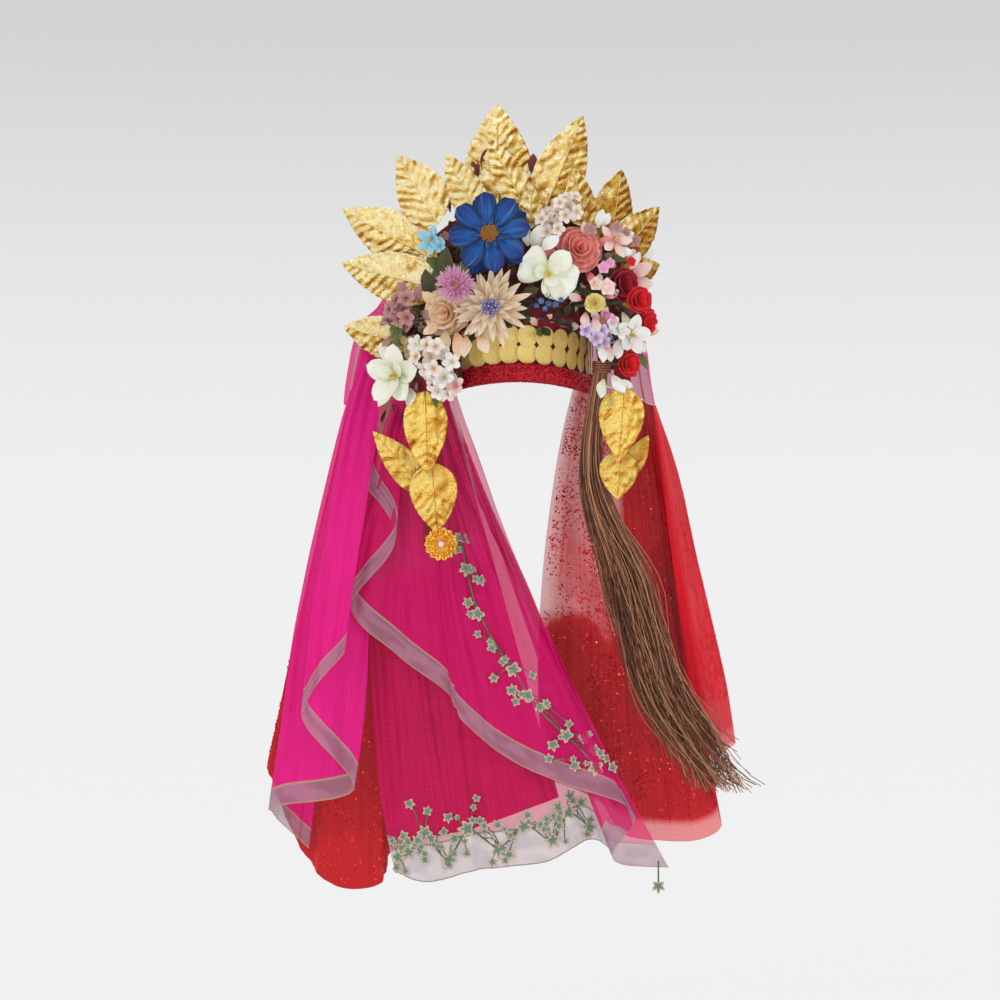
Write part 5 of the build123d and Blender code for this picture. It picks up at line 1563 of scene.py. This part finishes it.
# Small petals, leaves, buds and star florets by their pixels in the photo: across, down, stand-off from the
# crest, size, spin in degrees and look
TRIM = {
    "petal": [
        # long pale petals between the daisy and the orchid
        (533, 250, 40, 30, 20, "ivory"), (541, 250, 44, 24, 48, "white"),
        (528, 246, 40, 20, -6, "white"), (598, 228, 38, 20, 8, "white"),
        (603, 226, 36, 16, 28, "white"), (586, 236, 40, 16, -20, "blush"),
        # coral and pink petals round the coral rose
        (560, 256, 34, 20, -70, "coral"), (566, 262, 34, 18, -120, "dark_red"),
        (596, 246, 36, 18, 60, "coral"), (604, 262, 38, 14, 110, "coral"),
        (590, 272, 40, 16, 170, "coral"), (572, 270, 40, 16, 200, "coral"),
        (606, 246, 34, 14, 40, "pink"), (612, 242, 36, 18, 62, "blush"),
        (616, 250, 38, 18, 100, "white"), (610, 238, 34, 14, 10, "blush"),
        (622, 238, 34, 16, 70, "white"), (626, 250, 34, 16, 120, "blush"),
        # pale petals at the right
        (632, 276, 30, 26, 60, "blush"), (634, 282, 28, 24, 95, "blush"),
        (630, 270, 30, 22, 20, "white"), (640, 290, 24, 20, 130, "white"),
        (626, 262, 34, 20, 45, "blush"), (644, 262, 20, 20, 40, "white"),
        (616, 316, 40, 20, 200, "white"), (622, 312, 38, 22, 160, "ivory"),
        (636, 318, 30, 26, 110, "white"), (632, 334, 32, 26, 140, "ivory"),
        (620, 338, 36, 22, 190, "white"), (640, 330, 26, 22, 90, "blush"),
        (603, 342, 36, 22, 178, "white"), (607, 344, 36, 20, 160, "blush"),
        (612, 375, 26, 24, 150, "white"), (604, 379, 26, 22, 200, "ivory"),
        (616, 383, 26, 20, 100, "white"),
        # pink petals round the yellow rosebud
        (586, 312, 44, 18, 190, "blush"), (594, 316, 46, 18, 165, "blush"),
        (604, 312, 44, 18, 130, "pink"), (582, 300, 42, 16, -70, "blush"),
        (606, 298, 44, 16, 60, "blush"), (598, 288, 42, 16, 10, "blush"),
        # petals of the mauve hydrangea and round the berries
        (408, 298, 34, 20, -30, "mauve"), (414, 302, 34, 20, 30, "mauve"),
        (402, 310, 32, 18, -80, "mauve"), (410, 316, 34, 20, 170, "mauve"),
        (420, 312, 36, 16, 110, "mauve"), (396, 316, 28, 18, -120, "mauve"),
        (424, 336, 34, 18, 150, "mauve"), (414, 336, 32, 18, 200, "mauve"),
        (392, 336, 28, 16, 220, "mauve"), (434, 330, 36, 14, 60, "mauve"),
        # cream petals under the peach rose and under the dahlia
        (446, 330, 38, 26, 190, "cream"), (456, 332, 42, 28, 165, "peach"),
        (440, 322, 36, 22, 230, "peach"), (436, 304, 36, 20, -50, "peach"),
        (466, 336, 46, 24, 175, "cream"), (478, 336, 48, 22, 150, "cream"),
        # petals of the stars round the lily
        (424, 366, 40, 18, 60, "white"), (432, 360, 40, 18, 20, "white"),
        (388, 362, 30, 26, -35, "ivory"), (410, 360, 36, 26, 30, "ivory"),
        (392, 384, 32, 30, 215, "ivory"), (410, 388, 36, 24, 160, "ivory"),
    ],
    "leaf": [
        (446, 288, 30, 44, 5, "olive"), (432, 300, 28, 34, -8, "olive"),
        (456, 276, 32, 26, 40, "moss"), (470, 282, 30, 22, -20, "olive"),
        (382, 362, 24, 16, -100, "moss"), (376, 372, 20, 18, -60, "moss"),
        (430, 388, 30, 26, 190, "moss"), (438, 398, 28, 22, 215, "moss"),
        (520, 296, 34, 22, 70, "olive"), (540, 292, 34, 22, 110, "olive"),
        (560, 296, 34, 22, 80, "moss"), (578, 288, 34, 20, 120, "olive"),
        (596, 276, 32, 20, 70, "olive"), (612, 262, 30, 18, 60, "moss"),
        (610, 344, 30, 22, 120, "olive"), (640, 352, 18, 20, 160, "moss"),
        (418, 352, 34, 18, 200, "moss"), (402, 346, 30, 18, -60, "moss"),
        (484, 172, 12, 26, 10, "wine"), (478, 176, 12, 20, -14, "wine"),
        (532, 174, 12, 22, 4, "wine"), (452, 190, 12, 22, -6, "wine"),
        (528, 200, 14, 22, -30, "wine"), (556, 200, 14, 22, 30, "wine"),
        (404, 236, 12, 18, -20, "wine"), (566, 206, 14, 18, 60, "wine"),
        (386, 410, 4, 16, 200, "wine"), (392, 404, 6, 16, 150, "wine"),
        (384, 402, 4, 14, -60, "wine"), (396, 414, 8, 14, 120, "wine"),
    ],
    "bud": [
        (590, 230, 42, 6.0, 0, "mauve"), (616, 227, 38, 6.0, 0, "mauve"),
        (634, 241, 30, 6.0, 0, "mauve"), (625, 233, 34, 5.0, 0, "mauve"),
        (606, 288, 46, 8.5, 0, "blush"), (595, 284, 44, 6.5, 0, "blush"),
        (603, 268, 44, 6.0, 0, "pink"), (609, 263, 44, 5.0, 0, "pink"),
        (630, 262, 34, 5.0, 0, "red"), (640, 266, 28, 5.0, 0, "red"),
        (622, 368, 24, 6.0, 0, "red"), (632, 372, 20, 5.0, 0, "red"),
        (620, 356, 24, 4.5, 0, "red"), (399, 331, 36, 8.0, 0, "green"),
        (548, 304, 44, 3.0, 0, "berry"), (541, 301, 44, 3.0, 0, "berry"),
        (555, 305, 44, 3.0, 0, "berry"), (545, 309, 44, 2.6, 0, "berry"),
        (536, 306, 44, 2.6, 0, "berry"), (561, 300, 44, 2.6, 0, "berry"),
    ],
    "star": [
        (556, 209, 36, 10, 20, "blush"), (566, 200, 34, 9, 50, "white"),
        (572, 212, 36, 10, 0, "white"), (553, 224, 40, 11, 30, "ivory"),
        (546, 214, 38, 8, 0, "white"), (432, 238, 30, 9, 10, "sky"),
        (440, 246, 34, 8, 30, "sky"), (586, 330, 46, 9, 0, "lilac"),
        (596, 338, 44, 9, 30, "lilac"), (602, 330, 44, 8, 10, "lilac"),
        (604, 342, 40, 8, 50, "lilac"), (440, 350, 44, 11, 0, "white"),
        (452, 362, 46, 11, 30, "white"), (444, 378, 42, 13, 10, "white"),
        (456, 386, 40, 12, 40, "blush"), (428, 372, 40, 10, 20, "white"),
        (416, 344, 38, 10, 0, "white"), (438, 392, 38, 9, 0, "white"),
        (620, 330, 42, 11, 15, "white"), (612, 322, 44, 9, 40, "white"),
    ],
}
TRIM_LOOKS = {**PETALS, **LEAVES, "berry": BERRY}
# The slots of looks whose slot isn't their petal's own
TRIM_SLOTS = {"olive": "leaf_green", "moss": "leaf_green", "wine": "leaf_green", "green": "leaf_green",
              "berry": "petal_blue"}
SCATTER = 14


def trim_piece(heap, shape, place, middle, size, seed, draw):
    if shape == "petal":
        blade(heap, place, size, size * 0.29, draw.uniform(0.05, 0.35), PETAL, 0.3)
    elif shape == "leaf":
        blade(heap, place, size, size * 0.24, draw.uniform(-0.15, 0.10), PETAL)
    elif shape == "bud":
        for index in range(5):
            leant = place @ Matrix.Rotation(index * 1.26, 4, "Z") @ Matrix.Rotation(0.9, 4, "X")
            blade(heap, leant, size * 1.25, size * 0.75, -0.45, PETAL)
        heap.ball(middle, size * 0.62, PETAL)
    else:
        bloom(heap, place, "floret", size, seed)


def trim():
    """Every look's small petals, leaves, buds and stars as one mesh, each on its own wire."""
    heaps = {}
    draw = Random(77)
    for shape, rows in TRIM.items():
        for across, down, standoff, size, spin, look in rows:
            heap = heaps.setdefault(look, Heap())
            middle = off_crest(across, down, standoff)
            turn = bearing_of(middle) * 0.8 + draw.uniform(-SCATTER, SCATTER)
            place = turned(facing(middle, turn, draw.uniform(-SCATTER, SCATTER)), spin)
            trim_piece(heap, shape, place, middle, size, across + down, draw)
            heap.stem(off_crest(across, down, CLEARANCE), middle, 0.7, 4, STALK)
    for look, heap in heaps.items():
        slot = TRIM_SLOTS.get(look, "petal_" + look)
        heap.make("trim_" + look, [TRIM_LOOKS[look], HEART_LOOKS["yellow"], STEM_GREEN], slot)


# Greenery that hides the crest board: how many leaves, how large, how far off it and the board's bare margin
FILL_LEAVES = 420
FILL_SIZE = 13
FILL_GAP = CLEARANCE + 0.4
FILL_MARGIN = 8
FILL_LOOKS = ["olive", "moss", "wine", "mauve", "cream", "blush"]
# What lies where: each look up to its share of the draws
FILL_UPPER_RIGHT = [("blush", 0.25), ("wine", 0.50), ("moss", 0.75), ("olive", 1.0)]
FILL_LEFT = [("mauve", 0.45), ("moss", 0.70), ("olive", 1.0)]
FILL_MIDDLE = [("cream", 0.12), ("wine", 0.35), ("olive", 0.80), ("moss", 1.0)]
UPPER_RIGHT_X = 30
UPPER_RIGHT_Z = 90
LEFT_X = -70
# Where the board's two legs begin, in shares of its half width, and from what height each part is covered
LEFT_LEG = -0.46
RIGHT_LEG = 0.66
LEFT_LEG_FROM = 6
RIGHT_LEG_FROM = 0.14 * CREST_HEIGHT
MIDDLE_FROM = 0.42 * CREST_HEIGHT


def on_board(x, z):
    """Whether a place across and up lies on the crest's front, with a margin."""
    if abs(x) > CREST_HALF - FILL_MARGIN:
        return False
    if z > CREST_ARCH_CENTRE:
        return x ** 2 + (z - CREST_ARCH_CENTRE) ** 2 < (CREST_HALF - FILL_MARGIN) ** 2
    if x < LEFT_LEG * CREST_HALF:
        return z > LEFT_LEG_FROM
    if x > RIGHT_LEG * CREST_HALF:
        return z > RIGHT_LEG_FROM
    return z > MIDDLE_FROM


def mixture_at(x, z):
    if x > UPPER_RIGHT_X and z > UPPER_RIGHT_Z:
        return FILL_UPPER_RIGHT
    return FILL_LEFT if x < LEFT_X else FILL_MIDDLE


def filler():
    """Small leaves, petals and curls of silk laid over the crest board, under the flowers."""
    draw = Random(5)
    heap = Heap()
    placed = 0
    while placed < FILL_LEAVES:
        x = draw.uniform(-CREST_HALF, CREST_HALF)
        z = draw.uniform(0, CREST_HEIGHT)
        if not on_board(x, z):
            continue
        placed += 1
        foot = seat_at(x, z, FILL_GAP)
        place = turned(facing(foot, bearing_of(foot), 0), draw.uniform(0, 360), draw.uniform(20, 55))
        pick = draw.random()
        look = next(look for look, share in mixture_at(x, z) if pick < share)
        size = FILL_SIZE * draw.uniform(0.7, 1.3)
        blade(heap, place, size, size * 0.3, draw.uniform(-0.2, 0.2), FILL_LOOKS.index(look))
    heap.make("crest_filler", [TRIM_LOOKS[look] for look in FILL_LOOKS], "leaf_green")


# Dark twigs between the crown leaves, by their pixels in the photo
TWIGS = [
    ("across", "down", "spread", "count"),
    (542, 186, 16, 16),
    (488, 176, 8, 6),
    (450, 196, 8, 6),
    (404, 240, 8, 6),
    (524, 196, 8, 6),
    (568, 210, 8, 4),
]
TWIG_RISE = 16
TWIG_STANDOFF = 4
# The berry twig on the left and the stamens in the middle: places in pixels, stand-offs and numbers
BERRY_TWIG = (382, 324)
BERRY_STEM = (399, 326)
BERRY_STANDOFF = 34
BERRY_SPAN = (381, 427)
BERRY_LINE = 323
BERRY_LAYERS = (33, 38)
BERRY_RADII = (1.1, 1.9)
BERRIES = 46
STAMEN_FOOT = (546, 302)
STAMEN_STANDOFF = 34
STAMEN_LAYERS = (38, 46)
STAMENS = 34


def wires():
    """Dark twigs between the crown leaves, a twig with brown berries and thin dark stamens."""
    draw = Random(9)
    heap = Heap()
    for across, down, spread, count in TWIGS[1:]:
        foot = off_crest(across, down + TWIG_RISE, TWIG_STANDOFF)
        for index in range(count):
            tip_across = across + draw.uniform(-spread, spread)
            tip = off_crest(tip_across, down - draw.uniform(2, TWIG_RISE), draw.uniform(6, 14))
            middle = (foot + tip) * 0.5 + Vector((draw.uniform(-3, 3), -2, 0))
            heap.tube([foot, middle, tip], 0.8, 4, taper=0.5)
    across, down = BERRY_TWIG
    twig = [off_crest(across + 5 * k, down - 2 * sin(k), BERRY_STANDOFF) for k in range(10)]
    heap.tube(twig, 0.8, 5, 1)
    for index in range(BERRIES):
        berry_across = draw.uniform(*BERRY_SPAN)
        place = off_crest(berry_across, BERRY_LINE + draw.uniform(-5, 4), draw.uniform(*BERRY_LAYERS))
        heap.ball(place, draw.uniform(*BERRY_RADII), 1)
    heap.tube([off_crest(*BERRY_STEM, standoff) for standoff in (2, 18, BERRY_STANDOFF)], 0.8, 4, 1)
    across, down = STAMEN_FOOT
    for index in range(STAMENS):
        foot = off_crest(across, down, STAMEN_STANDOFF)
        tip_across = across + draw.uniform(-26, 22)
        tip = off_crest(tip_across, down + draw.uniform(-9, 8), draw.uniform(*STAMEN_LAYERS))
        heap.stem(foot, tip, 0.5)
    heap.make("twigs", [TWIG_DARK, TWIG], "leaf_green")


# Stage

# The backdrop's section from its middle outwards: radius and height
FLOOR_PROFILE = [
    (0, -760), (2500, -760), (4200, -760), (5200, -600), (6000, -100), (6500, 900), (6700, 2600),
    (6800, 5200),
]
# How bright it is, from below the object to above it
FLOOR_GLOW = [(0.0, 0.84), (0.35, 0.84), (0.65, 0.76), (1.0, 0.62)]


def backdrop():
    """A round pale floor that curves up into a wall all round and gives off a soft even light."""
    stations = [Vector((r, z, 0)) for r, z in FLOOR_PROFILE]

    def point(u, v):
        r, z = through(stations, v)[:2]
        return polar(r, 2 * pi * u, z)

    bowl = Heap()
    bowl.grid(point, 96, 42, wrap=True)
    look = Look("backdrop_paint", (0.05, 0.05, 0.05), 0.95, Specular_IOR_Level=0.0, Emission_Strength=1.0)
    height = look.node("SeparateXYZ", {0: look.place()}).outputs[2]
    glow = look.ramp(look.plus(look.times(height, 0.4), 0.4), FLOOR_GLOW)
    look.feed(look.shader.inputs["Emission Color"], glow)
    add("floor", bowl.mesh("floor", [look.material]))


# Lights: name, place and size in metres, watts and colour
LIGHTS = [
    ("key", (-2.2, -3.2, 2.4), 1.0, 42, (1.0, 0.98, 0.95)),
    ("front", (0.4, -3.6, -0.5), 1.2, 13, (1.0, 0.99, 0.97)),
    ("fill", (2.6, -2.8, 1.2), 1.4, 12, (0.95, 0.97, 1.0)),
    ("back_left", (-2.4, 2.6, 1.8), 1.2, 14, (1.0, 1.0, 1.0)),
    ("back_right", (2.4, 2.6, 1.8), 1.2, 14, (1.0, 1.0, 1.0)),
    ("top", (0.3, -0.4, 3.4), 1.0, 22, (1.0, 1.0, 1.0)),
]
LIT_POINT = Vector((0, 0, -0.1))
SKY = (0.95, 0.97, 1.0)
SKY_STRENGTH = 0.34


def lights():
    for name, place, size, watts, colour in LIGHTS:
        lamp = bpy.data.lights.new(name, "AREA")
        lamp.size = size
        lamp.energy = watts
        lamp.color = colour
        made = add(name, lamp)
        made.location = place
        made.rotation_euler = (LIT_POINT - Vector(place)).to_track_quat("-Z", "Y").to_euler()
    world = bpy.data.worlds.new("studio")
    world.use_nodes = True
    background = world.node_tree.nodes["Background"]
    background.inputs["Color"].default_value = (*SKY, 1)
    background.inputs["Strength"].default_value = SKY_STRENGTH
    bpy.context.scene.world = world


def camera():
    lens = bpy.data.cameras.new("camera")
    lens.lens = LENS
    lens.sensor_width = SENSOR
    made = add("camera", lens)
    made.location = Vector((CAMERA_X, -CAMERA_BACK, CAMERA_Z)) * MM
    made.rotation_euler = (pi / 2, 0, 0)
    bpy.context.scene.camera = made


CARRIED_OVER = {"cap": CAP_RED, "brow_band": BAND_RED, "crest": CREST_RED_AND_SHADE, "ribbon_left": RIBBON_RED,
                "ribbon_right": RIBBON_RED}


def dress():
    """Give the CAD nodes that stay their materials."""
    for node, look in CARRIED_OVER.items():
        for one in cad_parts[node].material_slots:
            one.material = look


camera()
backdrop()
lights()
bpy.context.scene.view_settings.view_transform = "Standard"
dress()
veils()
crown_leaves()
pendants()
flowers()
coins()
band_sequins()
cap_trim()
strands()
ivy()
veil_sequins()
trim()
filler()
wires()
